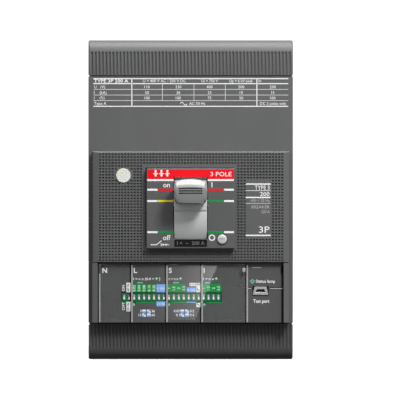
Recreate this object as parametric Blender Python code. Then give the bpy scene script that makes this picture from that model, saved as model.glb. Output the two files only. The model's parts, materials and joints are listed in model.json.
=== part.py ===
"""Three-pole molded case circuit breaker with an electronic trip unit.

Every length here is in millimetres and becomes metres when a mesh is made (MM).
X runs to the right, +Z up, and the front looks along -Y. The origin is the middle
of the flat rear face that lies against the mounting plate.
"""

import math

import bmesh
import bpy
from mathutils import Matrix, Vector

MM = 0.001
GAP = 0.3  # left between pieces that touch

# Case, from the rear face (y = 0) forward
HALF_WIDTH = 52.5
BASE_TOP = 80.0
BASE_DEPTH = 47.0
CORNER_RADIUS = 1.5
WALL = 2.2
COVER_TOP = 63.2
COVER_FRONT = 70.7
PANEL_FRONT = 79.1
PANEL_LEFT, PANEL_RIGHT = -50.1, 50.4
PANEL_BOTTOM, PANEL_TOP = -32.1, 24.8
RAIL_LEFT, RAIL_RIGHT = 47.6, 50.3

# Poles, and the pockets in the base for them
POLE_PITCH = 35.0
POLES = (-POLE_PITCH, 0.0, POLE_PITCH)
CHAMBER_HALF = 14.5
CHAMBER_TOP = 60.0
CHAMBER_FLOOR = 10.0
TERMINAL_HALF = 13.5
TERMINAL_FLOOR = 17.7
TERMINAL_START = 63.7
NOTCH_HALF = 10.5
MOUNT_HOLE_X, MOUNT_HOLE_Z, MOUNT_HOLE_RADIUS = 17.5, 66.0, 2.25

# Terminal covers, which overhang the base at both ends
END_TOP = 82.0
END_ROUND = 5.6
END_SKIRT = 80.3
SKIRT_REAR = 8.0
CABLE_HALF = 12.5
CABLE_FRONT, CABLE_REAR = 58.0, 17.0

# Copper terminals
BAR_HALF = 10.0
BAR_REAR, BAR_FRONT = 18.0, 22.0
BAR_END = 79.0
TERMINAL_HOLE_Z, TERMINAL_HOLE_RADIUS = 72.0, 4.5

# Rotary double-break contacts, as (y, z)
ROTOR_CENTRE = (-30.0, -6.0)
ROTOR_RADIUS = 9.0
ROTOR_HALF_LENGTH = 48.8
CONTACT_HALF = 4.0
CRANK = (-3.5, 12.5)  # of the crank pin, from the rotor's centre
PIN_RADIUS = 1.5
LINK_WIDTH = 6.0

# Escutcheon and toggle
PLATE_FRONT = 82.5
PLATE_HALF = 22.6
PLATE_BOTTOM, PLATE_TOP = -25.0, 16.0
SLOT_HALF = 8.7
SLOT_BOTTOM, SLOT_TOP = -20.2, 11.6
TOGGLE_PIVOT = (-58.5, -5.8)
TOGGLE_ANGLE = 15.8  # above level when on
SHIELD_RADIUS = 26.0
SHIELD_WALL = 2.0
SHIELD_HALF = 8.4
SHIELD_FROM, SHIELD_TO = -35.5, 73.6  # degrees above level, when on
NOSE_RADIUS = 40.0
NOSE_ROOT = (8.1, 4.4)  # half width and half thickness where it leaves the shield
NOSE_TIP = (8.55, 5.9)

# Operating mechanism
CRADLE_PIVOT = (-52.0, 18.0)
UPPER_PIVOT = (-56.5, 8.0)
KNEE = (-44.78, 10.59)
TRIP_BAR = (-56.0, -26.3)
TRIP_BAR_RADIUS = 2.5

# Trip unit
TRIP_LEFT, TRIP_RIGHT = -47.1, 47.3
TRIP_BOTTOM, TRIP_TOP = -62.9, -32.5
TRIP_FRONT, TRIP_REAR = 76.7, 50.3
BOARD_FRONT, BOARD_REAR = 68.0, 66.4
SWITCH_COUNT = 20
SWITCH_PITCH = 2.54
SWITCH_FIRST = -34.0
SWITCH_BODY = (-35.2, 15.6, -52.0, -47.5)  # left, right, bottom, top
SWITCH_BODY_FRONT = 76.2
KNOB_HALF = 0.475
KNOB_BOTTOM, KNOB_TOP = -51.25, -49.95
KNOB_FRONT, KNOB_REAR = 76.65, 74.4
SWITCH_SLOT = (0.62, -51.35, -48.25, 74.2)  # half width, bottom, top, floor
SOCKET = (31.9, 39.7, -48.8, -44.5)
PLUNGER = (-20.0, -60.0)  # x, y

# Hinged window over the switches
FLAP_LEFT, FLAP_RIGHT, FLAP_BOTTOM = -46.9, 28.2, -61.6
FLAP_PIVOT = (-78.0, -33.6)
FLAP_HALF_THICKNESS = 0.6

# Test button and the sealed screw, as (x, z)
BUTTON = (16.1, -20.2)
BUTTON_RADIUS = 2.5
SEAL = (-34.4, 12.4)
SEAL_RADIUS = 3.65


def clear_scene():
    for obj in list(bpy.data.objects):
        bpy.data.objects.remove(obj, do_unlink=True)


def new_collection(name):
    collection = bpy.data.collections.new(name)
    bpy.context.scene.collection.children.link(collection)
    return collection


clear_scene()
parts = new_collection("molded_case_breaker")
cutters = new_collection("cutters")


def plastic(name, color, roughness=0.5):
    return finish(name, color, roughness, 0.0)


def metal(name, color, roughness=0.35):
    return finish(name, color, roughness, 1.0)


def finish(name, color, roughness, metallic):
    material = bpy.data.materials.new(name)
    material.use_nodes = True
    shader = material.node_tree.nodes["Principled BSDF"]
    shader.inputs["Base Color"].default_value = (*color, 1.0)
    shader.inputs["Roughness"].default_value = roughness
    shader.inputs["Metallic"].default_value = metallic
    return material


def box(bm, low, high, rounded=None):
    """Adds a box. rounded is (axis, radius) for the four edges along that axis."""
    low, high = Vector(low), Vector(high)
    size = high - low
    made = bmesh.ops.create_cube(bm, size=1.0)["verts"]
    bmesh.ops.scale(bm, vec=size, verts=made)
    bmesh.ops.translate(bm, vec=(low + high) / 2, verts=made)
    if rounded:
        axis, radius = rounded
        along = [
            edge
            for edge in {e for v in made for e in v.link_edges}
            if abs((edge.verts[0].co - edge.verts[1].co)[axis]) > 1e-6
        ]
        bmesh.ops.bevel(
            bm, geom=along, offset=radius, segments=3, profile=0.5, affect="EDGES"
        )
    return made


def rod(bm, start, end, radius, sides=16):
    """Adds a closed round bar from start to end."""
    start, end = Vector(start), Vector(end)
    along = end - start
    turn = Vector((0, 0, 1)).rotation_difference(along).to_matrix().to_4x4()
    place = Matrix.Translation((start + end) / 2) @ turn
    bmesh.ops.create_cone(
        bm,
        cap_ends=True,
        segments=sides,
        radius1=radius,
        radius2=radius,
        depth=along.length,
        matrix=place,
    )


def outline(bm, points, low, high, plane="YZ"):
    """Adds a flat outline drawn in a plane and given a thickness from low to high across it."""
    curve = bpy.data.curves.new("outline", "CURVE")
    curve.dimensions = "2D"
    curve.fill_mode = "BOTH"
    curve.extrude = (high - low) / 2
    spline = curve.splines.new("POLY")
    spline.points.add(len(points) - 1)
    for point, (across, up) in zip(spline.points, points):
        point.co = (across, up, 0.0, 1.0)
    spline.use_cyclic_u = True
    drawn = bpy.data.objects.new("outline", curve)
    cutters.objects.link(drawn)
    bpy.context.view_layer.update()
    graph = bpy.context.evaluated_depsgraph_get()
    mesh = bpy.data.meshes.new_from_object(drawn.evaluated_get(graph))
    bpy.data.objects.remove(drawn)
    if plane == "YZ":
        columns = Matrix(((0, 0, 1, 0), (1, 0, 0, 0), (0, 1, 0, 0), (0, 0, 0, 1)))
        middle = Vector(((low + high) / 2, 0, 0))
    else:
        columns = Matrix(((1, 0, 0, 0), (0, 0, -1, 0), (0, 1, 0, 0), (0, 0, 0, 1)))
        middle = Vector((0, (low + high) / 2, 0))
    mesh.transform(Matrix.Translation(middle) @ columns)
    bm.from_mesh(mesh)
    bpy.data.meshes.remove(mesh)
    bmesh.ops.remove_doubles(bm, verts=bm.verts, dist=0.001)
    bmesh.ops.recalc_face_normals(bm, faces=bm.faces)


def add_object(name, bm, origin, collection):
    """Makes an object of the millimetre shape, with its origin at the given point."""
    to_metres = Matrix.Scale(MM, 4) @ Matrix.Translation(-Vector(origin))
    bmesh.ops.transform(bm, matrix=to_metres, verts=bm.verts)
    mesh = bpy.data.meshes.new(name)
    bm.to_mesh(mesh)
    bm.free()
    obj = bpy.data.objects.new(name, mesh)
    obj.location = Vector(origin) * MM
    collection.objects.link(obj)
    return obj


def add_part(name, bm, material, origin=(0, 0, 0), smooth=False):
    obj = add_object(name, bm, origin, parts)
    obj.data.materials.append(material)
    if smooth:
        obj.data.shade_smooth()
        obj.data.set_sharp_from_angle(angle=math.radians(35))
    return obj


def combine(part, operation, label, bm):
    """Cuts the shape from the part, or joins it on, with an exact Boolean."""
    helper = add_object(f"{part.name}_{label}", bm, (0, 0, 0), cutters)
    helper.hide_render = True
    helper.display_type = "WIRE"
    modifier = part.modifiers.new(label, "BOOLEAN")
    modifier.operation = operation
    modifier.object = helper
    modifier.solver = "EXACT"
    modifier.use_self = True


def cut(part, label, bm):
    combine(part, "DIFFERENCE", label, bm)


def join(part, label, bm):
    combine(part, "UNION", label, bm)


def arc(centre, radius, start, end, steps):
    """Points on an arc in the YZ plane. Angles are in degrees above the forward direction."""
    angles = [math.radians(start + (end - start) * i / steps) for i in range(steps + 1)]
    return [
        (centre[0] - radius * math.cos(a), centre[1] + radius * math.sin(a))
        for a in angles
    ]


def strip(start, end, width):
    """Outline of a link with round ends, from one pin to the other."""
    run = math.degrees(math.atan2(end[1] - start[1], start[0] - end[0]))
    radius = width / 2
    return arc(start, radius, run + 90, run + 270, 6) + arc(end, radius, run - 90, run + 90, 6)


def tilted(bm, centre, degrees):
    """Turns all of a shape about the X line through centre, up at the front."""
    at = Vector((0, *centre))
    turn = Matrix.Rotation(math.radians(-degrees), 4, "X")
    about = Matrix.Translation(at) @ turn @ Matrix.Translation(-at)
    bmesh.ops.transform(bm, matrix=about, verts=bm.verts)


# ---------------------------------------------------------------- case


def make_base(material):
    bm = bmesh.new()
    box(
        bm,
        (-HALF_WIDTH, -BASE_DEPTH, -BASE_TOP),
        (HALF_WIDTH, 0, BASE_TOP),
        rounded=(1, CORNER_RADIUS),
    )
    base = add_part("base", bm, material)
    open_front = -BASE_DEPTH - 1
    bm = bmesh.new()
    for pole in POLES:
        left, right = pole - CHAMBER_HALF, pole + CHAMBER_HALF
        box(bm, (left, open_front, 7), (right, -TERMINAL_FLOOR, CHAMBER_TOP))
        box(bm, (left, open_front, -CHAMBER_TOP), (right, -CHAMBER_FLOOR, 8))
        for end in (-1, 1):
            low, high = sorted((end * TERMINAL_START, end * (BASE_TOP + 1)))
            box(
                bm,
                (pole - TERMINAL_HALF, open_front, low),
                (pole + TERMINAL_HALF, -TERMINAL_FLOOR, high),
            )
            low, high = sorted((end * (CHAMBER_TOP - 1), end * (TERMINAL_START + 1)))
            box(
                bm,
                (pole - NOTCH_HALF, open_front, low),
                (pole + NOTCH_HALF, -TERMINAL_FLOOR, high),
            )
    cut(base, "pockets", bm)
    bm = bmesh.new()
    reach = ROTOR_RADIUS + 0.5
    y, z = ROTOR_CENTRE
    box(
        bm,
        (-ROTOR_HALF_LENGTH - 0.5, open_front, z - reach),
        (ROTOR_HALF_LENGTH + 0.5, y + reach, z + reach),
    )
    cut(base, "rotor_bay", bm)
    bm = bmesh.new()
    for x in (-MOUNT_HOLE_X, MOUNT_HOLE_X):
        for z in (-MOUNT_HOLE_Z, MOUNT_HOLE_Z):
            rod(bm, (x, open_front, z), (x, 1, z), MOUNT_HOLE_RADIUS)
    cut(base, "mounting_holes", bm)


def make_main_cover(material):
    rear = -BASE_DEPTH - GAP
    window_half, window_bottom, window_top = 24.0, -33.0, 21.0
    bm = bmesh.new()
    box(
        bm,
        (-HALF_WIDTH, -COVER_FRONT, -COVER_TOP),
        (HALF_WIDTH, rear, COVER_TOP),
    )
    cover = add_part("main_cover", bm, material)
    bm = bmesh.new()
    inner_x, inner_z = HALF_WIDTH - WALL, COVER_TOP - WALL
    box(bm, (-inner_x, -COVER_FRONT + WALL, -inner_z), (inner_x, rear + 1, inner_z))
    cut(cover, "hollow", bm)
    bm = bmesh.new()
    box(
        bm,
        (-window_half, -COVER_FRONT - 1, window_bottom),
        (window_half, -COVER_FRONT + WALL + 1, window_top),
    )
    box(
        bm,
        (-RAIL_LEFT, -COVER_FRONT - 1, -COVER_TOP - 1),
        (RAIL_LEFT, -TRIP_REAR + GAP, TRIP_TOP + GAP),
    )
    cut(cover, "windows", bm)
    bm = bmesh.new()
    for side in (-1, 1):
        low, high = sorted((side * RAIL_LEFT, side * RAIL_RIGHT))
        box(
            bm,
            (low, -PANEL_FRONT, TRIP_BOTTOM),
            (high, -COVER_FRONT + 1, PANEL_BOTTOM - GAP),
        )
    join(cover, "rails", bm)


def make_front_panel(material):
    front_wall, side_wall = 3.0, 2.0
    head_radius, head_depth = 3.3, 1.6
    hole_radius = 1.6
    rear = -COVER_FRONT - GAP
    bm = bmesh.new()
    box(bm, (PANEL_LEFT, -PANEL_FRONT, PANEL_BOTTOM), (PANEL_RIGHT, rear, PANEL_TOP))
    panel = add_part("front_panel", bm, material)
    bm = bmesh.new()
    box(
        bm,
        (PANEL_LEFT + side_wall, -PANEL_FRONT + front_wall, PANEL_BOTTOM + side_wall),
        (PANEL_RIGHT - side_wall, rear + 1, PANEL_TOP - side_wall),
    )
    cut(panel, "hollow", bm)
    bm = bmesh.new()
    box(
        bm,
        (-PLATE_HALF - GAP, -PANEL_FRONT - 1, PLATE_BOTTOM - GAP),
        (PLATE_HALF + GAP, -PANEL_FRONT + front_wall + 1, PLATE_TOP + GAP),
    )
    cut(panel, "window", bm)
    x, z = SEAL
    bm = bmesh.new()
    rod(bm, (x, -PANEL_FRONT - 1, z), (x, -PANEL_FRONT + head_depth, z), head_radius)
    cut(panel, "screw_recess", bm)
    bm = bmesh.new()
    rod(bm, (x, -PANEL_FRONT - 1, z), (x, -PANEL_FRONT + front_wall + 1, z), hole_radius, 12)
    cut(panel, "screw_hole", bm)


def make_escutcheon(material):
    wall = 2.0
    rear = -COVER_FRONT - 0.6
    bm = bmesh.new()
    box(
        bm,
        (-PLATE_HALF, -PLATE_FRONT, PLATE_BOTTOM),
        (PLATE_HALF, rear, PLATE_TOP),
    )
    plate = add_part("escutcheon", bm, material)
    bm = bmesh.new()
    box(
        bm,
        (-PLATE_HALF + wall, -PLATE_FRONT + wall, PLATE_BOTTOM + wall),
        (PLATE_HALF - wall, rear + 1, PLATE_TOP - wall),
    )
    cut(plate, "hollow", bm)
    bm = bmesh.new()
    box(
        bm,
        (-SLOT_HALF, -PLATE_FRONT - 1, SLOT_BOTTOM),
        (SLOT_HALF, -PLATE_FRONT + wall + 1, SLOT_TOP),
    )
    notch = SLOT_HALF + 0.5
    for low, high in ((PLATE_BOTTOM - 1, PLATE_BOTTOM + 3), (PLATE_TOP - 3, PLATE_TOP + 1)):
        box(bm, (-notch, -PLATE_FRONT + 3.3, low), (notch, rear + 1, high))
    x, z = BUTTON
    rod(
        bm,
        (x, -PLATE_FRONT - 1, z),
        (x, -PLATE_FRONT + wall + 1, z),
        BUTTON_RADIUS + GAP,
        20,
    )
    cut(plate, "slot", bm)


def make_terminal_cover(name, end, material):
    """A cover over one end's terminals. end is 1 for the top and -1 for the bottom."""
    front_rear = -BASE_DEPTH - GAP
    round_centre = (-COVER_FRONT + END_ROUND, END_TOP - END_ROUND)
    side = (
        [(front_rear, TERMINAL_START), (-COVER_FRONT, TERMINAL_START)]
        + arc(round_centre, END_ROUND, 0, 90, 5)
        + [(-SKIRT_REAR, END_TOP), (-SKIRT_REAR, END_SKIRT), (front_rear, END_SKIRT)]
    )
    bm = bmesh.new()
    outline(bm, [(y, end * z) for y, z in side], -HALF_WIDTH, HALF_WIDTH)
    cover = add_part(name, bm, material)
    inner = HALF_WIDTH - WALL
    bm = bmesh.new()
    low, high = sorted((end * (TERMINAL_START + 1.5), end * (END_TOP - 3)))
    box(bm, (-inner, -COVER_FRONT + 2.7, low), (inner, front_rear + 1, high))
    cut(cover, "hollow", bm)
    bm = bmesh.new()
    low, high = sorted((end * (END_TOP - 4), end * (END_TOP + 1)))
    for pole in POLES:
        box(
            bm,
            (pole - CABLE_HALF, -CABLE_FRONT, low),
            (pole + CABLE_HALF, -CABLE_REAR, high),
        )
    cut(cover, "cable_entries", bm)


def make_seal_and_screw(sticker, steel):
    x, z = SEAL
    bm = bmesh.new()
    rod(bm, (x, -PANEL_FRONT - 2 * GAP, z), (x, -PANEL_FRONT - GAP, z), SEAL_RADIUS, 24)
    add_part("warranty_seal", bm, sticker, smooth=True)
    bm = bmesh.new()
    rod(bm, (x, -PANEL_FRONT + GAP, z), (x, -PANEL_FRONT + 1.3, z), 2.9)
    screw = add_part("panel_screw", bm, steel, smooth=True)
    bm = bmesh.new()
    rod(bm, (x, -PANEL_FRONT + 1, z), (x, -COVER_FRONT - 1, z), 1.3, 12)
    join(screw, "shank", bm)


# ---------------------------------------------------------------- current path


def make_line_terminal(number, pole, copper):
    pad_front, pad_low, pad_high = BAR_FRONT + 2, 14.5, 21.3
    side = [
        (-BAR_REAR, 13),
        (-BAR_REAR, BAR_END),
        (-BAR_FRONT, BAR_END),
        (-BAR_FRONT, pad_high),
        (-pad_front, pad_high),
        (-pad_front, pad_low),
        (-BAR_FRONT, pad_low),
        (-BAR_FRONT, 13),
    ]
    bm = bmesh.new()
    outline(bm, side, pole - BAR_HALF, pole + BAR_HALF)
    terminal = add_part(f"line_terminal_{number}", bm, copper)
    terminal_hole(terminal, pole, TERMINAL_HOLE_Z)


def terminal_hole(terminal, pole, z):
    bm = bmesh.new()
    rod(bm, (pole, -BAR_FRONT - 1, z), (pole, -BAR_REAR + 1, z), TERMINAL_HOLE_RADIUS)
    cut(terminal, "screw_hole", bm)


def make_load_terminal(number, pole, copper):
    """A bar that steps forward, so that its contact faces the rear."""
    step_low, step_high = -46.0, -42.0
    contact_front, contact_rear, pad_rear = 42.0, 38.0, 36.0
    top, pad_low = -26.0, -33.0
    side = [
        (-BAR_REAR, -BAR_END),
        (-BAR_FRONT, -BAR_END),
        (-BAR_FRONT, step_low),
        (-contact_front, step_low),
        (-contact_front, top),
        (-pad_rear, top),
        (-pad_rear, pad_low),
        (-contact_rear, pad_low),
        (-contact_rear, step_high),
        (-BAR_REAR, step_high),
    ]
    bm = bmesh.new()
    outline(bm, side, pole - BAR_HALF, pole + BAR_HALF)
    terminal = add_part(f"load_terminal_{number}", bm, copper)
    terminal_hole(terminal, pole, -TERMINAL_HOLE_Z)


def make_arc_chute(number, pole, steel):
    """Nine splitter plates on one backing, open towards the contact."""
    plates, pitch, thickness = 9, 3.5, 1.2
    rear, backing, front, bottom = 24.5, 41.5, 43.5, 27.5
    comb = []
    for plate in range(plates):
        low = bottom + plate * pitch
        comb += [(-backing, low), (-rear, low), (-rear, low + thickness)]
        comb += [(-backing, low + thickness)]
    high = bottom + (plates - 1) * pitch + thickness
    comb = comb[1:-1] + [(-front, high), (-front, bottom)]
    bm = bmesh.new()
    outline(bm, comb, pole - CHAMBER_HALF + 1, pole + CHAMBER_HALF - 1)
    add_part(f"arc_chute_{number}", bm, steel)


def make_current_transformer(number, pole, material):
    low, high = -58.5, -48.5
    half = CHAMBER_HALF - 0.5
    bm = bmesh.new()
    box(bm, (pole - half, -31, low), (pole + half, -CHAMBER_FLOOR - 0.5, high))
    core = add_part(f"current_transformer_{number}", bm, material)
    bm = bmesh.new()
    box(
        bm,
        (pole - BAR_HALF - 0.5, -BAR_FRONT - 0.5, low - 1),
        (pole + BAR_HALF + 0.5, -BAR_REAR + 0.5, high + 1),
    )
    cut(core, "bar_window", bm)


# ---------------------------------------------------------------- contacts


def make_contact_shaft(material):
    y, z = ROTOR_CENTRE
    origin = (0, y, z)
    bm = bmesh.new()
    rod(bm, (-ROTOR_HALF_LENGTH, y, z), (ROTOR_HALF_LENGTH, y, z), ROTOR_RADIUS, 24)
    shaft = add_part("contact_shaft", bm, material, origin, smooth=True)
    bm = bmesh.new()
    for side in (-1, 1):
        low, high = sorted((side * 5.2, side * 7.2))
        box(bm, (low, y - 7, z + 4), (high, y, z + 16))
    join(shaft, "crank_ears", bm)
    bm = bmesh.new()
    for pole in POLES:
        made = bmesh.new()
        half = CONTACT_HALF + GAP
        box(made, (pole - half, y - 3, z - 12), (pole + half, y + 3, z + 12))
        tilted(made, ROTOR_CENTRE, 10.6)
        piece = bpy.data.meshes.new("slot")
        made.to_mesh(piece)
        made.free()
        bm.from_mesh(piece)
        bpy.data.meshes.remove(piece)
    cut(shaft, "contact_slots", bm)
    bm = bmesh.new()
    pin = (y + CRANK[0], z + CRANK[1])
    rod(bm, (-9, *pin), (9, *pin), PIN_RADIUS + 0.4)
    cut(shaft, "pin_hole", bm)


def make_moving_contact(number, pole, copper):
    """A bar through the rotor, with a contact at each end, the same when turned half round."""
    half = [(5.6, 17), (5.6, 27), (1.6, 27), (1.6, 20), (-2.3, 3)]
    # the second half repeats the first, turned about the rotor's centre
    path = half + [(-across, -up) for across, up in half]
    y, z = ROTOR_CENTRE
    bm = bmesh.new()
    side = [(y + across, z + up) for across, up in path]
    outline(bm, side, pole - CONTACT_HALF, pole + CONTACT_HALF)
    add_part(f"moving_contact_{number}", bm, copper, (pole, y, z))


# ---------------------------------------------------------------- operating mechanism


def make_mechanism_frame(steel):
    inner, outer = 12.5, 14.0
    rear, front, bottom, top = 41.0, 66.0, -20.0, 21.0
    bm = bmesh.new()
    box(bm, (-outer, -front, bottom), (-inner, -rear, top))
    frame = add_part("mechanism_frame", bm, steel)
    bm = bmesh.new()
    box(bm, (inner, -front, bottom), (outer, -rear, top))
    for pin in (CRADLE_PIVOT, (-45.0, -17.5)):
        rod(bm, (-inner - 0.7, *pin), (inner + 0.7, *pin), PIN_RADIUS)
    join(frame, "right_plate_and_rods", bm)


def make_handle_arm(steel):
    """The steel yoke that the toggle is fixed to."""
    inner, outer = 10.7, 12.0
    y, z = TOGGLE_PIVOT
    reach, width = 20.0, 7.0
    bm = bmesh.new()
    outline(bm, strip(TOGGLE_PIVOT, (y - reach + 3.5, z), width), -outer, -inner)
    tilted(bm, TOGGLE_PIVOT, TOGGLE_ANGLE)
    arm = add_part("handle_arm", bm, steel, (0, y, z))
    bm = bmesh.new()
    outline(bm, strip(TOGGLE_PIVOT, (y - reach + 3.5, z), width), inner, outer)
    tilted(bm, TOGGLE_PIVOT, TOGGLE_ANGLE)
    join(arm, "right_leg", bm)
    bm = bmesh.new()
    middle = (inner + outer) / 2
    box(bm, (-middle, y - reach, z - 3), (middle, y - reach + 2, z + 3))
    tilted(bm, TOGGLE_PIVOT, TOGGLE_ANGLE)
    join(arm, "bridge", bm)


def make_toggle_handle(material):
    """The barrel shield, which always closes the slot, and the nose that a finger moves."""
    y, z = TOGGLE_PIVOT
    outside = arc(TOGGLE_PIVOT, SHIELD_RADIUS, SHIELD_FROM, SHIELD_TO, 20)
    inside = arc(TOGGLE_PIVOT, SHIELD_RADIUS - SHIELD_WALL, SHIELD_TO, SHIELD_FROM, 20)
    bm = bmesh.new()
    outline(bm, outside + inside, -SHIELD_HALF, SHIELD_HALF)
    toggle = add_part("toggle_handle", bm, material, (0, y, z), smooth=True)
    bm = bmesh.new()
    made = box(bm, (-1, y - NOSE_RADIUS, z - 1), (1, y - SHIELD_RADIUS + 1, z + 1))
    for vertex in made:
        at_tip = vertex.co.y < y - SHIELD_RADIUS
        half_width, half_thickness = NOSE_TIP if at_tip else NOSE_ROOT
        vertex.co.x *= half_width
        vertex.co.z = z + (vertex.co.z - z) * half_thickness
    tip_edges = [
        edge
        for edge in bm.edges
        if all(vertex.co.y < y - SHIELD_RADIUS for vertex in edge.verts)
    ]
    bmesh.ops.bevel(
        bm, geom=tip_edges, offset=1.2, segments=2, profile=0.5, affect="EDGES"
    )
    tilted(bm, TOGGLE_PIVOT, TOGGLE_ANGLE)
    join(toggle, "nose", bm)


def make_cradle(steel):
    y, z = CRADLE_PIVOT
    side = [
        (-49.0, 21.0),
        (-49.0, 15.6),
        (-53.2, 4.0),
        (-55.4, -10.0),
        (-55.4, -23.2),
        (-60.5, -23.2),
        (-61.0, -8.0),
        (-60.5, 8.0),
        (-56.0, 21.0),
    ]
    inner, outer = 7.3, 8.8
    bm = bmesh.new()
    outline(bm, side, -outer, -inner)
    cradle = add_part("cradle", bm, steel, (0, y, z))
    bm = bmesh.new()
    outline(bm, side, inner, outer)
    join(cradle, "right_plate", bm)
    bm = bmesh.new()
    box(bm, (-inner - 0.7, -60.5, -23.2), (inner + 0.7, -55.4, -19.5))
    join(cradle, "latch_nose", bm)
    bm = bmesh.new()
    rod(bm, (-outer - 1, y, z), (outer + 1, y, z), PIN_RADIUS + 0.3)
    cut(cradle, "pivot_hole", bm)


def make_upper_link(steel):
    inner, outer = 5.5, 7.0
    bm = bmesh.new()
    outline(bm, strip(UPPER_PIVOT, KNEE, LINK_WIDTH), -outer, -inner)
    link = add_part("upper_link", bm, steel, (0, *UPPER_PIVOT))
    bm = bmesh.new()
    outline(bm, strip(UPPER_PIVOT, KNEE, LINK_WIDTH), inner, outer)
    join(link, "right_plate", bm)
    bm = bmesh.new()
    rod(bm, (-inner - 0.7, *KNEE), (inner + 0.7, *KNEE), 1.4, 12)
    join(link, "knee_pin", bm)


def make_lower_link(steel):
    inner, outer = 8.0, 9.5
    pin = (ROTOR_CENTRE[0] + CRANK[0], ROTOR_CENTRE[1] + CRANK[1])
    bm = bmesh.new()
    outline(bm, strip(pin, KNEE, LINK_WIDTH), -outer, -inner)
    link = add_part("lower_link", bm, steel, (0, *pin))
    bm = bmesh.new()
    outline(bm, strip(pin, KNEE, LINK_WIDTH), inner, outer)
    join(link, "right_plate", bm)
    bm = bmesh.new()
    rod(bm, (-inner - 0.7, *pin), (inner + 0.7, *pin), PIN_RADIUS, 12)
    join(link, "crank_pin", bm)
    bm = bmesh.new()
    rod(bm, (-outer - 1, *KNEE), (outer + 1, *KNEE), 1.9, 12)
    cut(link, "open_knee_hole", bm)


def make_main_spring(steel):
    """A tension spring from the knee pin to the yoke's bridge."""
    y, z = TOGGLE_PIVOT
    lift = math.radians(TOGGLE_ANGLE)
    start = Vector((0, *KNEE))
    end = Vector((0, y - 19 * math.cos(lift), z + 19 * math.sin(lift)))
    along = (end - start).normalized()
    across = Vector((1, 0, 0))
    third = along.cross(across)
    turns, points_per_turn, radius, clear = 8, 8, 2.4, 2.6
    length = (end - start).length - 2 * clear
    count = turns * points_per_turn + 1
    curve = bpy.data.curves.new("main_spring", "CURVE")
    curve.dimensions = "3D"
    curve.bevel_depth = 0.45 * MM
    curve.bevel_resolution = 1
    curve.use_fill_caps = True
    spline = curve.splines.new("POLY")
    spline.points.add(count - 1)
    for i, point in enumerate(spline.points):
        angle = 2 * math.pi * i / points_per_turn
        place = start + along * (clear + length * i / (count - 1))
        place += radius * (math.cos(angle) * across + math.sin(angle) * third)
        point.co = (*(place * MM), 1.0)
    spring = bpy.data.objects.new("main_spring", curve)
    parts.objects.link(spring)
    curve.materials.append(steel)


def make_trip_bar(material):
    y, z = TRIP_BAR
    bm = bmesh.new()
    rod(bm, (-24, y, z), (20, y, z), TRIP_BAR_RADIUS)
    bar = add_part("trip_bar", bm, material, (0, y, z), smooth=True)
    bm = bmesh.new()
    x = BUTTON[0]
    box(bm, (x - 1.5, -59.4, -27), (x + 1.5, y, -18.5))
    x = PLUNGER[0]
    box(bm, (x - 2, -62, -27.6), (x + 2, y, -25))
    join(bar, "lugs", bm)


# ---------------------------------------------------------------- trip unit


def make_trip_unit_case(material):
    wall = 2.0
    bm = bmesh.new()
    box(bm, (TRIP_LEFT, -TRIP_FRONT, TRIP_BOTTOM), (TRIP_RIGHT, -TRIP_REAR, TRIP_TOP))
    case = add_part("trip_unit_case", bm, material)
    bm = bmesh.new()
    box(
        bm,
        (TRIP_LEFT + wall, -TRIP_FRONT + wall, TRIP_BOTTOM + wall),
        (TRIP_RIGHT - wall, -TRIP_REAR + 1, TRIP_TOP - wall),
    )
    cut(case, "hollow", bm)
    bm = bmesh.new()
    for left, right, bottom, top in (SWITCH_BODY, SOCKET):
        box(
            bm,
            (left - GAP, -TRIP_FRONT - 1, bottom - GAP),
            (right + GAP, -TRIP_FRONT + wall + 1, top + GAP),
        )
    x, y = PLUNGER
    rod(bm, (x, y, TRIP_TOP - wall - 1), (x, y, TRIP_TOP + 1), 1.7, 12)
    cut(case, "windows", bm)


def make_trip_circuit_board(material):
    bm = bmesh.new()
    box(bm, (-44, -BOARD_FRONT, -60), (44, -BOARD_REAR, -36))
    add_part("trip_circuit_board", bm, material)


def make_dip_switch_block(material):
    left, right, bottom, top = SWITCH_BODY
    bm = bmesh.new()
    box(bm, (left, -SWITCH_BODY_FRONT, bottom), (right, -BOARD_FRONT - GAP, top))
    block = add_part("dip_switch_block", bm, material)
    half, slot_bottom, slot_top, floor = SWITCH_SLOT
    bm = bmesh.new()
    for i in range(SWITCH_COUNT):
        x = SWITCH_FIRST + i * SWITCH_PITCH
        box(
            bm,
            (x - half, -SWITCH_BODY_FRONT - 1, slot_bottom),
            (x + half, -floor, slot_top),
        )
    cut(block, "slots", bm)


def make_switches(material):
    middle = (KNOB_BOTTOM + KNOB_TOP) / 2
    for i in range(SWITCH_COUNT):
        x = SWITCH_FIRST + i * SWITCH_PITCH
        bm = bmesh.new()
        box(
            bm,
            (x - KNOB_HALF, -KNOB_FRONT, KNOB_BOTTOM),
            (x + KNOB_HALF, -KNOB_REAR, KNOB_TOP),
        )
        add_part(f"switch_{i + 1:02d}", bm, material, (x, -KNOB_FRONT, middle))


def make_test_connector(material):
    left, right, bottom, top = SOCKET
    shell = [
        (left, bottom + 0.6),
        (left + 0.6, bottom),
        (right - 0.6, bottom),
        (right, bottom + 0.6),
        (right - 1.2, top - 0.3),
        (right - 1.6, top),
        (left + 1.6, top),
        (left + 1.2, top - 0.3),
    ]
    bm = bmesh.new()
    outline(bm, shell, -TRIP_FRONT - 0.4, -BOARD_FRONT - GAP, plane="XZ")
    connector = add_part("test_connector", bm, material)
    mouth = [(33.2, -47.3), (38.4, -47.3), (37.6, -45.7), (34.0, -45.7)]
    bm = bmesh.new()
    outline(bm, mouth, -TRIP_FRONT - 2, -TRIP_FRONT + 4.5, plane="XZ")
    cut(connector, "mouth", bm)


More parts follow.
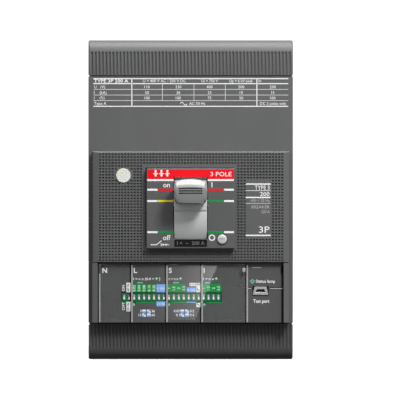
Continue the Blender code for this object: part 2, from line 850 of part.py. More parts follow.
def make_trip_coil(copper, steel):
    x, y = PLUNGER
    bm = bmesh.new()
    box(bm, (x - 6, y - 5, -47), (x + 6, y + 6, -36))
    coil = add_part("trip_coil", bm, copper)
    bm = bmesh.new()
    rod(bm, (x, y, -46), (x, y, -35), 1.7, 12)
    cut(coil, "bore", bm)
    bm = bmesh.new()
    rod(bm, (x, y, -45), (x, y, -31.3), 1.3, 12)
    add_part("trip_plunger", bm, steel, (x, y, -45), smooth=True)


def make_flap_window(material):
    y, z = FLAP_PIVOT
    half = FLAP_HALF_THICKNESS
    side = arc(FLAP_PIVOT, half, 0, 180, 6) + [(y + half, FLAP_BOTTOM), (y - half, FLAP_BOTTOM)]
    bm = bmesh.new()
    outline(bm, side, FLAP_LEFT, FLAP_RIGHT)
    add_part("flap_window", bm, material, (0, y, z))


def make_test_button(material):
    x, z = BUTTON
    bm = bmesh.new()
    rod(bm, (x, -PLATE_FRONT - 1.1, z), (x, -75, z), BUTTON_RADIUS, 20)
    button = add_part("test_button", bm, material, (x, -PLATE_FRONT, z), smooth=True)
    bm = bmesh.new()
    rod(bm, (x, -76, z), (x, -60, z), 1.5, 12)
    join(button, "stem", bm)


# ---------------------------------------------------------------- assembly


def build():
    case_grey = plastic("case_grey", (0.135, 0.14, 0.14))
    copper = metal("copper", (0.72, 0.42, 0.25))
    steel = metal("zinc_plated_steel", (0.6, 0.6, 0.58))
    make_base(plastic("base_grey", (0.11, 0.115, 0.115)))
    make_main_cover(case_grey)
    make_front_panel(plastic("panel_grey", (0.12, 0.125, 0.125)))
    make_escutcheon(plastic("escutcheon_grey", (0.13, 0.13, 0.13)))
    make_terminal_cover("upper_terminal_cover", 1, case_grey)
    make_terminal_cover("lower_terminal_cover", -1, case_grey)
    make_seal_and_screw(plastic("seal_paper", (0.8, 0.8, 0.72)), steel)
    for number, pole in enumerate(POLES, 1):
        make_line_terminal(number, pole, copper)
        make_load_terminal(number, pole, copper)
        make_arc_chute(number, pole, metal(f"arc_plate_{number}", (0.5, 0.5, 0.5)))
        make_current_transformer(number, pole, plastic(f"core_tape_{number}", (0.7, 0.6, 0.2)))
        make_moving_contact(number, pole, copper)
    make_contact_shaft(plastic("rotor_black", (0.03, 0.03, 0.03)))
    make_mechanism_frame(steel)
    make_handle_arm(steel)
    make_toggle_handle(plastic("toggle_grey", (0.32, 0.32, 0.32), 0.35))
    make_cradle(steel)
    make_upper_link(steel)
    make_lower_link(steel)
    make_main_spring(metal("spring_steel", (0.45, 0.45, 0.45)))
    make_trip_bar(plastic("trip_bar_black", (0.05, 0.05, 0.05)))
    make_trip_unit_case(plastic("trip_unit_grey", (0.1, 0.1, 0.1)))
    make_trip_circuit_board(plastic("board_green", (0.02, 0.18, 0.08)))
    make_dip_switch_block(plastic("switch_body_green", (0.0, 0.14, 0.05)))
    make_switches(plastic("switch_white", (0.85, 0.85, 0.85), 0.4))
    make_test_connector(metal("socket_grey", (0.5, 0.5, 0.5)))
    make_trip_coil(plastic("coil_tape", (0.5, 0.25, 0.05)), steel)
    make_flap_window(plastic("clear_window", (0.8, 0.85, 0.85), 0.1))
    make_test_button(plastic("button_grey", (0.45, 0.45, 0.45), 0.4))


build()
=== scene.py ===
import json
import math

import bmesh
import bpy
from mathutils import Matrix, Vector


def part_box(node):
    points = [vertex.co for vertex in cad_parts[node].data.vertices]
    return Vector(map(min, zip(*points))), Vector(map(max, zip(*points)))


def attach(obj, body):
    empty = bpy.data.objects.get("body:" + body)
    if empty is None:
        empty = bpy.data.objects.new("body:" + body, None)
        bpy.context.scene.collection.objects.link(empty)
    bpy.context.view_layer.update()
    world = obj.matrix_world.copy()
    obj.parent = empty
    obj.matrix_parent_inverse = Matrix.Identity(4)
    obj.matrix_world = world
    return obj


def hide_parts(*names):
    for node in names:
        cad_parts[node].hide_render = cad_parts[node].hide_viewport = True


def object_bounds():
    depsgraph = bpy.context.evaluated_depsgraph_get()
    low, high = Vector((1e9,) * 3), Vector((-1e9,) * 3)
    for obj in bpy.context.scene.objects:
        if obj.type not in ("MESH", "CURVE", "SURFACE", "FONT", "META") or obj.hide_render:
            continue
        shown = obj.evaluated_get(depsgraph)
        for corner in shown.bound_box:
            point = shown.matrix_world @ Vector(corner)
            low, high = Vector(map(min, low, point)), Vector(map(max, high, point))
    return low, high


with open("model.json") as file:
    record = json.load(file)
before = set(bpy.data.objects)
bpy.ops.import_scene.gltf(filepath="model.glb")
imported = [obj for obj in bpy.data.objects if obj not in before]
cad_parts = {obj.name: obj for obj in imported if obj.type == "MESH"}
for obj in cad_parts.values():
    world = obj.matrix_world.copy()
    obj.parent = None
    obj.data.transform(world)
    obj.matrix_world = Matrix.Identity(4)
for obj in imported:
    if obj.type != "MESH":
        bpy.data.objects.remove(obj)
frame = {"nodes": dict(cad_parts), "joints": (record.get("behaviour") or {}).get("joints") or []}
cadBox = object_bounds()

# Shapes are drawn in millimetres and become metres when a piece is finished.
# X runs right and Z up. Depths are counted forward from the rear face, so y = -depth.
mm = 0.001
scene = bpy.context.scene
facing = Matrix.Rotation(math.radians(90), 4, "X")  # local +Z becomes the front
capHeight = 0.682  # of the built-in font, at size 1
poles = (-35.0, 0.0, 35.0)


def nodeBox(node):
    low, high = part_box(node)
    return Vector(low) / mm, Vector(high) / mm


def frontAt(x, z, depth, turn=0.0):
    spin = Matrix.Rotation(math.radians(turn), 4, "Z")
    return Matrix.Translation((x, -depth, z)) @ facing @ spin


def mergeIn(bm, made, place=None):
    if place is not None:
        bmesh.ops.transform(made, matrix=place, verts=made.verts)
    holder = bpy.data.meshes.new("holder")
    made.to_mesh(holder)
    made.free()
    bm.from_mesh(holder)
    bpy.data.meshes.remove(holder)


def softEdges(bm, radius, segments=2, sharper=30.0, pick=None):
    edges = [
        edge
        for edge in bm.edges
        if len(edge.link_faces) == 2
        and edge.is_convex
        and edge.calc_face_angle(0.0) > math.radians(sharper)
        and (pick is None or pick(edge))
    ]
    bmesh.ops.bevel(
        bm,
        geom=edges,
        offset=radius,
        segments=segments,
        profile=0.5,
        affect="EDGES",
        material=-1,
        clamp_overlap=True,
    )


def longerThan(length):
    return lambda edge: edge.calc_length() > length


def vertsIn(geom):
    return [item for item in geom if isinstance(item, bmesh.types.BMVert)]


def openEdgesIn(geom):
    return [item for item in geom if isinstance(item, bmesh.types.BMEdge) and item.is_boundary]


def addBox(bm, low, high, soft=0.0, segments=2):
    low, high = Vector(low), Vector(high)
    made = bmesh.new()
    place = Matrix.Translation((low + high) / 2) @ Matrix.Diagonal((*(high - low), 1.0))
    bmesh.ops.create_cube(made, size=1.0, matrix=place)
    if soft:
        softEdges(made, soft, segments)
    mergeIn(bm, made)


def addRod(bm, start, end, radius, sides=24, endRadius=None, soft=0.0):
    start, end = Vector(start), Vector(end)
    along = end - start
    turn = Vector((0, 0, 1)).rotation_difference(along).to_matrix().to_4x4()
    made = bmesh.new()
    bmesh.ops.create_cone(
        made,
        cap_ends=True,
        segments=sides,
        radius1=radius,
        radius2=radius if endRadius is None else endRadius,
        depth=along.length,
    )
    if soft:
        softEdges(made, soft, 2, 40.0)
    mergeIn(bm, made, Matrix.Translation((start + end) / 2) @ turn)


def addTurned(bm, profile, place, steps=32):
    # profile is (radius, height) from the foot to the top, closed on the axis or as a ring
    made = bmesh.new()
    verts = [made.verts.new((radius, 0.0, height)) for radius, height in profile]
    edges = [made.edges.new(pair) for pair in zip(verts, verts[1:])]
    bmesh.ops.spin(
        made,
        geom=verts + edges,
        cent=(0, 0, 0),
        axis=(0, 0, 1),
        angle=2 * math.pi,
        steps=steps,
        use_merge=True,
    )
    bmesh.ops.remove_doubles(made, verts=made.verts, dist=0.0005)
    bmesh.ops.recalc_face_normals(made, faces=made.faces)
    mergeIn(bm, made, place)


def drawOut(bm, corners, way):
    # a solid from one flat outline, carried along way
    face = bm.faces.new([bm.verts.new(corner) for corner in corners])
    raised = bmesh.ops.extrude_face_region(bm, geom=[face])["geom"]
    bmesh.ops.translate(bm, vec=way, verts=vertsIn(raised))
    bmesh.ops.recalc_face_normals(bm, faces=bm.faces)


def addSlab(bm, points, place, height, soft=0.0):
    made = bmesh.new()
    drawOut(made, [(x, y, 0.0) for x, y in points], (0, 0, height))
    if soft:
        softEdges(made, soft, 2, 20.0)
    mergeIn(bm, made, place)


def roundedRect(left, right, bottom, top, radius, steps=4):
    points = []
    corners = (
        (right - radius, top - radius, 0),
        (left + radius, top - radius, 90),
        (left + radius, bottom + radius, 180),
        (right - radius, bottom + radius, 270),
    )
    for x, z, start in corners:
        for i in range(steps + 1):
            angle = math.radians(start + 90 * i / steps)
            points.append((x + radius * math.cos(angle), z + radius * math.sin(angle)))
    return points


def copyOfNode(node):
    bm = bmesh.new()
    bm.from_mesh(frame["nodes"][node].data)
    bmesh.ops.scale(bm, vec=(1 / mm, 1 / mm, 1 / mm), verts=bm.verts)
    bmesh.ops.remove_doubles(bm, verts=bm.verts, dist=0.002)
    bmesh.ops.dissolve_limit(bm, angle_limit=math.radians(0.5), verts=bm.verts, edges=bm.edges)
    return bm


def pivotOf(jointName):
    joint = next(joint for joint in frame["joints"] if joint["name"] == jointName)
    return Vector(joint["pos_m"]) / mm


def showObject(name, data):
    shown = bpy.data.objects.new(name, data)
    scene.collection.objects.link(shown)
    return shown


def addWords(bm, words, x, z, height, depth, width=None, align="CENTER", bold=0.0, turn=0.0):
    # z is the foot of the letters, or with a turn of 90 x is
    curve = bpy.data.curves.new("words", "FONT")
    curve.body = words
    curve.size = height / capHeight
    curve.offset = bold
    curve.extrude = printing["proud"] / 2
    curve.resolution_u = 2
    writing = showObject("words", curve)
    graph = bpy.context.evaluated_depsgraph_get()
    mesh = bpy.data.meshes.new_from_object(writing.evaluated_get(graph))
    bpy.data.objects.remove(writing)
    bpy.data.curves.remove(curve)
    made = bmesh.new()
    made.from_mesh(mesh)
    bpy.data.meshes.remove(mesh)
    bmesh.ops.remove_doubles(made, verts=made.verts, dist=0.0005)
    across = [vertex.co.x for vertex in made.verts]
    left, wide = min(across), max(across) - min(across)
    stretch = width / wide if width else 1.0
    share = {"LEFT": 0.0, "CENTER": 0.5, "RIGHT": 1.0}[align]
    centre = Matrix.Translation((-left - wide * share, 0, 0))
    squeeze = Matrix.Diagonal((stretch, 1, 1, 1))
    mergeIn(bm, made, frontAt(x, z, depth + printing["proud"] / 2, turn) @ squeeze @ centre)


def addPiece(name, bm, material, body="case", stands=(), smoothBelow=32.0, fix=True):
    bmesh.ops.scale(bm, vec=(mm, mm, mm), verts=bm.verts)
    if fix:
        bmesh.ops.recalc_face_normals(bm, faces=bm.faces)
    mesh = bpy.data.meshes.new(name)
    bm.to_mesh(mesh)
    bm.free()
    mesh.materials.append(material)
    mesh.shade_smooth()
    mesh.set_sharp_from_angle(angle=math.radians(smoothBelow))
    piece = showObject(name, mesh)
    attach(piece, body)
    if stands:
        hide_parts(*stands)
    flat = piece.modifiers.new("flatFaces", "WEIGHTED_NORMAL")
    flat.keep_sharp = True
    return piece


printing = {"proud": 0.04, "sunk": 0.02}


def addBar(bm, left, right, bottom, top, depth):
    addBox(bm, (left, -depth - printing["proud"], bottom), (right, -depth + printing["sunk"], top))


def printPiece(name, ink, depth, bars=(), words=(), body="case"):
    # bars are (left, right, bottom, top), words are (text, x, foot, height, more)
    bm = bmesh.new()
    for bar in bars:
        addBar(bm, *bar, depth)
    for text, x, foot, height, more in words:
        addWords(bm, text, x, foot, height, depth, **more)
    return addPiece(name, bm, ink, body, fix=False)


# Shader nodes


def newGroup(name, inputs, outputs):
    # inputs are (label, value), and a value of four numbers is a color
    group = bpy.data.node_groups.new(name, "ShaderNodeTree")
    for label, value in inputs:
        kind = "NodeSocketColor" if isinstance(value, tuple) else "NodeSocketFloat"
        socket = group.interface.new_socket(name=label, in_out="INPUT", socket_type=kind)
        socket.default_value = value
    for label in outputs:
        kind = "NodeSocketColor" if label == "Color" else "NodeSocketFloat"
        group.interface.new_socket(name=label, in_out="OUTPUT", socket_type=kind)
    given = group.nodes.new("NodeGroupInput").outputs
    return group, given, group.nodes.new("NodeGroupOutput").inputs


def addNode(tree, kind, links=(), **settings):
    # links are (input name or index, source socket or plain value)
    node = tree.nodes.new(kind)
    for key, value in settings.items():
        setattr(node, key, value)
    for label, source in links:
        if isinstance(source, bpy.types.NodeSocket):
            tree.links.new(source, node.inputs[label])
        else:
            node.inputs[label].default_value = source
    return node


def feed(tree, inputs, sources):
    for label, source in sources.items():
        tree.links.new(source, inputs[label])


def setPlain(node, values):
    for label, value in values.items():
        node.inputs[label].default_value = value


def doMath(tree, operation, first, second):
    return addNode(
        tree, "ShaderNodeMath", [(0, first), (1, second)], operation=operation
    ).outputs[0]


def times(tree, first, second):
    return doMath(tree, "MULTIPLY", first, second)


def plus(tree, first, second):
    return doMath(tree, "ADD", first, second)


def remap(tree, value, start, end, low, high):
    return addNode(
        tree,
        "ShaderNodeMapRange",
        [("Value", value), ("From Min", start), ("From Max", end), ("To Min", low), ("To Max", high)],
    ).outputs[0]


def spread(tree, value, low, high):
    # noise stays near its middle, so that part is drawn out to the whole range
    return remap(tree, value, 0.3, 0.7, low, high)


def blend(tree, share, first, second):
    return addNode(
        tree, "ShaderNodeMix", [(0, share), (6, first), (7, second)], data_type="RGBA"
    ).outputs[2]


def tint(tree, color, value):
    # color times value
    return addNode(
        tree,
        "ShaderNodeMix",
        [(0, 1.0), (6, color), (7, value)],
        data_type="RGBA",
        blend_type="MULTIPLY",
    ).outputs[2]


def objectPlace(tree):
    return addNode(tree, "ShaderNodeTexCoord").outputs["Object"]


def noiseAt(tree, place, scale, detail=2.0):
    return addNode(
        tree, "ShaderNodeTexNoise", [("Vector", place), ("Scale", scale), ("Detail", detail)]
    ).outputs["Fac"]


def stretched(tree, place, scale):
    return addNode(tree, "ShaderNodeMapping", [("Vector", place), ("Scale", scale)]).outputs[0]


def makeGrainGroup():
    group, given, result = newGroup(
        "mouldedGrain",
        [
            ("Color", (0.1, 0.1, 0.1, 1.0)),
            ("Roughness", 0.5),
            ("Grain Scale", 2600.0),
            ("Tone Spread", 0.05),
            ("Gloss Spread", 0.08),
        ],
        ["Color", "Roughness", "Height"],
    )
    place = objectPlace(group)
    grain = noiseAt(group, place, given["Grain Scale"], 3.0)
    cloud = noiseAt(group, place, 38.0, 3.0)
    flow = noiseAt(group, stretched(group, place, (150.0, 150.0, 14.0)), 1.0)
    patchy = doMath(group, "SUBTRACT", plus(group, plus(group, cloud, flow), grain), 1.5)
    shade = plus(group, times(group, patchy, given["Tone Spread"]), 1.0)
    gloss = times(group, patchy, given["Gloss Spread"])
    rough = plus(group, given["Roughness"], gloss)
    color = tint(group, given["Color"], shade)
    feed(group, result, {"Color": color, "Roughness": rough, "Height": grain})
    return group


def makeEdgeGroup():
    # how much an edge is lightened, as wear and as painted highlight: 0 on flats, 1 on the sharpest
    # outer edges
    group, given, result = newGroup("edgeWearAndHighlight", [("Radius", 0.0004), ("Amount", 0.3)], ["Mask"])
    soft = addNode(group, "ShaderNodeBevel", [("Radius", given["Radius"])], samples=4)
    plain = addNode(group, "ShaderNodeNewGeometry")
    same = addNode(
        group,
        "ShaderNodeVectorMath",
        [(0, soft.outputs["Normal"]), (1, plain.outputs["Normal"])],
        operation="DOT_PRODUCT",
    ).outputs["Value"]
    turned = doMath(group, "SUBTRACT", 1.0, same)
    worn = noiseAt(group, objectPlace(group), 300.0)
    mask = times(group, times(group, turned, worn), given["Amount"])
    capped = addNode(group, "ShaderNodeClamp", [("Value", times(group, mask, 4.0))])
    feed(group, result, {"Mask": capped.outputs[0]})
    return group


def makeBrushGroup():
    # fine drawn lines along one axis, with a slow change of tone
    group, given, result = newGroup(
        "drawnMetal",
        [
            ("Color", (0.6, 0.6, 0.6, 1.0)),
            ("Stain", (0.3, 0.25, 0.2, 1.0)),
            ("Stain Share", 0.2),
            ("Roughness", 0.35),
        ],
        ["Color", "Roughness", "Height"],
    )
    place = objectPlace(group)
    lines = noiseAt(group, stretched(group, place, (3000.0, 3000.0, 90.0)), 1.0)
    cloud = noiseAt(group, place, 120.0, 4.0)
    share = times(group, spread(group, cloud, 0.0, 1.0), given["Stain Share"])
    color = blend(group, share, given["Color"], given["Stain"])
    toned = tint(group, color, spread(group, lines, 0.9, 1.08))
    rough = plus(group, given["Roughness"], spread(group, cloud, -0.06, 0.1))
    feed(group, result, {"Color": toned, "Roughness": rough, "Height": lines})
    return group


def makeInkGroup():
    # printed ink: slightly uneven cover over a matt film
    group, given, result = newGroup(
        "printedInk",
        [("Color", (0.8, 0.8, 0.8, 1.0)), ("Roughness", 0.45)],
        ["Color", "Roughness", "Height"],
    )
    place = objectPlace(group)
    cover = noiseAt(group, place, 900.0, 3.0)
    film = noiseAt(group, place, 60.0)
    color = tint(group, given["Color"], spread(group, cover, 0.93, 1.0))
    rough = plus(group, given["Roughness"], spread(group, film, -0.05, 0.05))
    feed(group, result, {"Color": color, "Roughness": rough, "Height": cover})
    return group


print("shader groups")
mouldedGrain = makeGrainGroup()
edgeWearAndHighlight = makeEdgeGroup()
drawnMetal = makeBrushGroup()
printedInk = makeInkGroup()


def newMaterial(name):
    material = bpy.data.materials.new(name)
    material.use_nodes = True
    tree = material.node_tree
    return material, tree, tree.nodes["Principled BSDF"]


def useGroup(tree, group, values):
    node = addNode(tree, "ShaderNodeGroup", node_tree=group)
    setPlain(node, values)
    return node.outputs


def bumpFrom(tree, height, strength, distance, shader):
    bump = addNode(
        tree, "ShaderNodeBump", [("Height", height), ("Strength", strength), ("Distance", distance)]
    )
    feed(tree, shader.inputs, {"Normal": bump.outputs[0]})


def plastic(name, color, roughness=0.5, grain=0.25, tone=0.1, edge=0.25, coat=0.0):
    material, tree, shader = newMaterial(name)
    given = {"Color": (*color, 1.0), "Roughness": roughness, "Tone Spread": tone}
    surface = useGroup(tree, mouldedGrain, given)
    edgeWearAndSheen = useGroup(tree, edgeWearAndHighlight, {"Amount": edge})
    # outer edges are lightened: partly wear, partly painted highlight
    lighter = [min(1.0, part * 1.9 + 0.03) for part in color]
    mixed = blend(tree, edgeWearAndSheen["Mask"], surface["Color"], (*lighter, 1.0))
    feed(tree, shader.inputs, {"Base Color": mixed, "Roughness": surface["Roughness"]})
    setPlain(shader, {"Coat Weight": coat, "Coat Roughness": 0.15})
    bumpFrom(tree, surface["Height"], grain, 0.00012, shader)
    return material


def ink(name, color, roughness=0.45):
    material, tree, shader = newMaterial(name)
    surface = useGroup(tree, printedInk, {"Color": (*color, 1.0), "Roughness": roughness})
    feed(tree, shader.inputs, {"Base Color": surface["Color"], "Roughness": surface["Roughness"]})
    setPlain(shader, {"Specular IOR Level": 0.2})
    bumpFrom(tree, surface["Height"], 0.15, 0.00003, shader)
    return material


def metal(name, color, roughness=0.3, stain=(0.3, 0.3, 0.3), stainShare=0.3):
    material, tree, shader = newMaterial(name)
    given = {"Color": (*color, 1.0), "Stain": (*stain, 1.0)}
    surface = useGroup(tree, drawnMetal, {**given, "Stain Share": stainShare, "Roughness": roughness})
    feed(tree, shader.inputs, {"Base Color": surface["Color"], "Roughness": surface["Roughness"]})
    setPlain(shader, {"Metallic": 1.0})
    bumpFrom(tree, surface["Height"], 0.2, 0.00005, shader)
    return material


def clearPlastic(name, tintColor):
    material, tree, shader = newMaterial(name)
    haze = noiseAt(tree, objectPlace(tree), 90.0, 4.0)
    feed(tree, shader.inputs, {"Roughness": spread(tree, haze, 0.004, 0.02)})
    setPlain(shader, {"Base Color": (*tintColor, 1.0), "Transmission Weight": 1.0})
    setPlain(shader, {"IOR": 1.585, "Specular IOR Level": 1.0})
    # light reaches what lies behind the window
    clear = addNode(tree, "ShaderNodeBsdfTransparent")
    path = addNode(tree, "ShaderNodeLightPath").outputs
    passing = doMath(tree, "MAXIMUM", path["Is Shadow Ray"], path["Is Diffuse Ray"])
    passing = doMath(tree, "MAXIMUM", passing, path["Is Glossy Ray"])
    mixed = addNode(
        tree, "ShaderNodeMixShader", [(0, passing), (1, shader.outputs[0]), (2, clear.outputs[0])]
    )
    feed(tree, tree.nodes["Material Output"].inputs, {"Surface": mixed.outputs[0]})
    return material


def grey(level):
    return (level * 0.985, level, level)


print("materials")
look = {
    "caseTone": 0.1,
    "baseTone": 0.085,
    "panelTone": 0.098,
    "plateTone": 0.095,
    "tripTone": 0.075,
    "toggleTone": 0.27,
    "shieldPaintedLightTone": 0.68,
    "lowerPaintedShadeTone": 0.066,
}
casePlastic = plastic("casePlastic", grey(look["caseTone"]), 0.46)
basePlastic = plastic("basePlastic", grey(look["baseTone"]), 0.55, grain=0.35)
panelPlastic = plastic("panelPlastic", grey(look["panelTone"]), 0.48)
platePlastic = plastic("platePlastic", grey(look["plateTone"]), 0.42, grain=0.15)
tripPlastic = plastic("tripPlastic", grey(look["tripTone"]), 0.5)
polished = {"grain": 0.05, "tone": 0.04, "edge": 0.1}
togglePlastic = plastic("togglePlastic", grey(look["toggleTone"]), 0.24, coat=0.7, **polished)
# the shield is the same moulding as the nose, made lighter here: painted light
shieldPaintedLightPlastic = plastic("shieldPaintedLightPlastic", grey(look["shieldPaintedLightTone"]), 0.3, coat=0.3, **polished)
# a darker copy of the case plastic for the lower terminal cover: painted shade, darker towards the
# bottom
casePaintedShade = plastic("casePaintedShade", grey(look["lowerPaintedShadeTone"]), 0.48)
buttonPlastic = plastic("buttonPlastic", (0.55, 0.55, 0.55), 0.3, grain=0.1, edge=0.1)
whitePlastic = plastic("whitePlastic", (0.86, 0.86, 0.86), 0.35, grain=0.08, tone=0.03, edge=0.0)
dividerPlastic = plastic("dividerPlastic", (0.36, 0.36, 0.36), 0.4, grain=0.1)
blackPlastic = plastic("blackPlastic", (0.012, 0.012, 0.012), 0.4)
rotorPlastic = plastic("rotorPlastic", (0.03, 0.025, 0.02), 0.45, grain=0.3)
switchPlastic = plastic("switchPlastic", (0.0, 0.15, 0.06), 0.5, grain=0.12, edge=0.15)
switchCarriage = plastic("switchCarriage", (0.5, 0.44, 0.44), 0.45, grain=0.1)
lipMetal = plastic("lipMetal", (0.38, 0.38, 0.38), 0.35, grain=0.1)
clearWindow = clearPlastic("clearWindow", (0.97, 0.985, 0.98))
whiteInk = ink("whiteInk", (0.86, 0.86, 0.86))
greyInk = ink("greyInk", (0.42, 0.42, 0.42))
dimInk = ink("dimInk", (0.2, 0.2, 0.2))
blackInk = ink("blackInk", (0.004, 0.004, 0.004), 0.7)
redInk = ink("redInk", (0.82, 0.0, 0.008), 0.6)
yellowInk = ink("yellowInk", (0.88, 0.75, 0.01), 0.4)
greenInk = ink("greenInk", (0.0, 0.29, 0.05), 0.6)
blueInk = ink("blueInk", (0.22, 0.42, 0.86), 0.4)
tealInk = ink("tealInk", (0.18, 0.52, 0.45), 0.3)
zincSteel = metal("zincSteel", (0.62, 0.62, 0.6), 0.32, (0.4, 0.38, 0.3), 0.3)
springSteel = metal("springSteel", (0.42, 0.42, 0.43), 0.28, (0.2, 0.18, 0.16), 0.3)
arcSteel = metal("arcSteel", (0.5, 0.44, 0.38), 0.4, (0.25, 0.16, 0.1), 0.5)
copperBar = metal("copperBar", (0.8, 0.47, 0.3), 0.3, (0.4, 0.2, 0.12), 0.4)
silverTip = metal("silverTip", (0.85, 0.84, 0.8), 0.28, (0.5, 0.48, 0.42), 0.3)
socketMetal = metal("socketMetal", (0.62, 0.62, 0.62), 0.35, (0.4, 0.4, 0.4), 0.2)

print("camera, light and floor")
studio = {
    "aim": (4.8, -0.15),  # where the camera looks, beside and below the origin
    "scaleDepth": 70.7,  # where the frame's width is measured
    "frameWidth": 205.4,
    "distance": 2500.0,
    "ambient": 0.5,
    "below": 0.1,
    "ahead": 0.08,
    "above": 1.0,
    "backdrop": 1.05,
    "floorSize": 4.0,
    "floorGlow": 0.5,
}
# place and target in metres, then width, height and power
lights = {
    "keyLight": ((0.32385, -0.60975, 0.57205), (0, -0.07, 0), 0.2, 0.2, 6.7),
    "topSoftbox": ((0.0, -0.45, 0.75), (0, -0.07, 0), 0.9, 0.35, 1.8),
    "overheadGloss": ((0.0, -0.2, 0.65), (0, -0.09, 0), 0.5, 0.5, 4.3),
}
glareLook = {
    "away": 300.0,  # from the pane, which lies at this depth
    "paneDepth": 78.6,
    "edge": ((17.2, -25.0), (0.73, -66.0)),
    "left": -50.0,
    "strength": 2.95,
    "fadeSpan": 0.042,
    "fadePower": 2.2,
    "footSpan": 0.035,
    "footShare": 0.4,
}


def makeCamera():
    camera = showObject("camera", bpy.data.cameras.new("camera"))
    x, z = studio["aim"]
    camera.location = Vector((x, -studio["scaleDepth"] - studio["distance"], z)) * mm
    camera.rotation_euler = (math.radians(90), 0, 0)
    camera.data.lens = camera.data.sensor_width * studio["distance"] / studio["frameWidth"]
    camera.data.clip_start, camera.data.clip_end = 0.05, 50.0
    scene.camera = camera


def areaLight(name):
    place, target, wide, tall, power = lights[name]
    light = bpy.data.lights.new(name, "AREA")
    light.shape = "RECTANGLE"
    light.size, light.size_y = wide, tall
    light.energy = power
    holder = showObject(name, light)
    holder.location = place
    holder.rotation_euler = (Vector(place) - Vector(target)).to_track_quat("Z", "Y").to_euler()
    holder.visible_camera = False
    return holder


def makeSky():
    world = bpy.data.worlds.new("studio")
    scene.world = world
    world.use_nodes = True
    tree = world.node_tree
    tree.nodes.clear()
    way = addNode(tree, "ShaderNodeTexCoord").outputs["Generated"]
    split = addNode(tree, "ShaderNodeSeparateXYZ", [("Vector", way)]).outputs
    # the room is dark straight ahead of the object, so that flat fronts don't mirror it
    ahead = remap(tree, split["Y"], -0.99, -0.85, studio["ahead"], 1.0)
    lower = remap(tree, split["Z"], -0.6, 0.1, studio["below"], studio["ambient"])
    upper = remap(tree, split["Z"], 0.1, 0.9, 0.0, studio["above"] - studio["ambient"])
    level = times(tree, plus(tree, lower, upper), ahead)
    soft = addNode(tree, "ShaderNodeBackground", [("Color", (1, 1, 1, 1)), ("Strength", level)])
    white = addNode(
        tree, "ShaderNodeBackground", [("Color", (1, 1, 1, 1)), ("Strength", studio["backdrop"])]
    )
    seen = addNode(tree, "ShaderNodeLightPath").outputs["Is Camera Ray"]
    mixed = addNode(
        tree, "ShaderNodeMixShader", [(0, seen), (1, soft.outputs[0]), (2, white.outputs[0])]
    )
    feed(tree, addNode(tree, "ShaderNodeOutputWorld").inputs, {"Surface": mixed.outputs[0]})


def stageMesh(name, bm, material, hiddenFrom):
    mesh = bpy.data.meshes.new(name)
    bm.to_mesh(mesh)
    bm.free()
    mesh.materials.append(material)
    staged = showObject(name, mesh)
    for kind in hiddenFrom:
        setattr(staged, f"visible_{kind}", False)


def makeFloor():
    material, tree, shader = newMaterial("paleFloor")
    cloud = noiseAt(tree, objectPlace(tree), 3.0)
    color = tint(tree, (0.9, 0.9, 0.9, 1.0), spread(tree, cloud, 0.98, 1.0))
    feed(tree, shader.inputs, {"Base Color": color})
    setPlain(shader, {"Roughness": 0.9, "Emission Color": (1, 1, 1, 1)})
    setPlain(shader, {"Emission Strength": studio["floorGlow"]})
    bm = bmesh.new()
    lowest = Matrix.Translation((0, 0, cadBox[0].z - 0.0002))
    bmesh.ops.create_grid(bm, x_segments=2, y_segments=2, size=studio["floorSize"], matrix=lowest)
    stageMesh("floor", bm, material, ("diffuse", "glossy"))


def makeGlareCard():
    # a card that only shows as a reflection in the clear flap
    away, paneDepth = glareLook["away"], glareLook["paneDepth"]
    share = away / (studio["scaleDepth"] + studio["distance"] - paneDepth)
    aimX, aimZ = studio["aim"]

    def onCard(x, z):
        across, up = x + (x - aimX) * share, z + (z - aimZ) * share
        return Vector((across, -paneDepth - away, up)) * mm

    (topX, topZ), (lowX, lowZ) = glareLook["edge"]
    left = glareLook["left"]
    bm = bmesh.new()
    corners = [(topX, topZ), (lowX, lowZ), (left, lowZ), (left, topZ)]
    bm.faces.new([bm.verts.new(onCard(x, z)) for x, z in corners])
    material, tree, shader = newMaterial("glareCard")
    top, foot = onCard(topX, topZ), onCard(lowX, lowZ)
    along = (top - foot).normalized()
    across = Vector((-along.z, 0.0, along.x))
    place = objectPlace(tree)

    def measure(way, origin, nearValue, farValue, span):
        value = addNode(
            tree, "ShaderNodeVectorMath", [(0, place), (1, tuple(way))], operation="DOT_PRODUCT"
        ).outputs["Value"]
        offset = way.dot(origin)
        return remap(tree, value, offset, offset + span, nearValue, farValue)

    # brightest along the slanted edge, and weaker towards the foot
    fade = doMath(
        tree, "POWER", measure(across, top, 1.0, 0.0, glareLook["fadeSpan"]), glareLook["fadePower"]
    )
    lower = measure(along, foot, glareLook["footShare"], 1.0, glareLook["footSpan"])
    strength = times(tree, times(tree, fade, lower), glareLook["strength"])
    setPlain(shader, {"Base Color": (0, 0, 0, 1), "Roughness": 1.0, "Emission Color": (1, 1, 1, 1)})
    feed(tree, shader.inputs, {"Emission Strength": strength})
    stageMesh(
        "glareCard", bm, material, ("camera", "diffuse", "transmission", "shadow", "volume_scatter")
    )


scene.view_settings.view_transform = "Standard"
makeCamera()
makeSky()
makeFloor()
areaLight("keyLight")
makeGlareCard()
areaLight("topSoftbox")
areaLight("overheadGloss").visible_diffuse = False


def innerLoop(bm, edges, depth, move):
    # carries a loop on to the given depth, and returns the new loop's edges
    grown = bmesh.ops.extrude_edge_only(bm, edges=edges)["geom"]
    for vertex in vertsIn(grown):
        x, z = move(vertex.co.x, vertex.co.z)
        vertex.co = (x, -depth, z)
    return openEdgesIn(grown)


def clampTo(left, right, bottom, top):
    return lambda x, z: (min(max(x, left), right), min(max(z, bottom), top))


def stay(x, z):
    return x, z


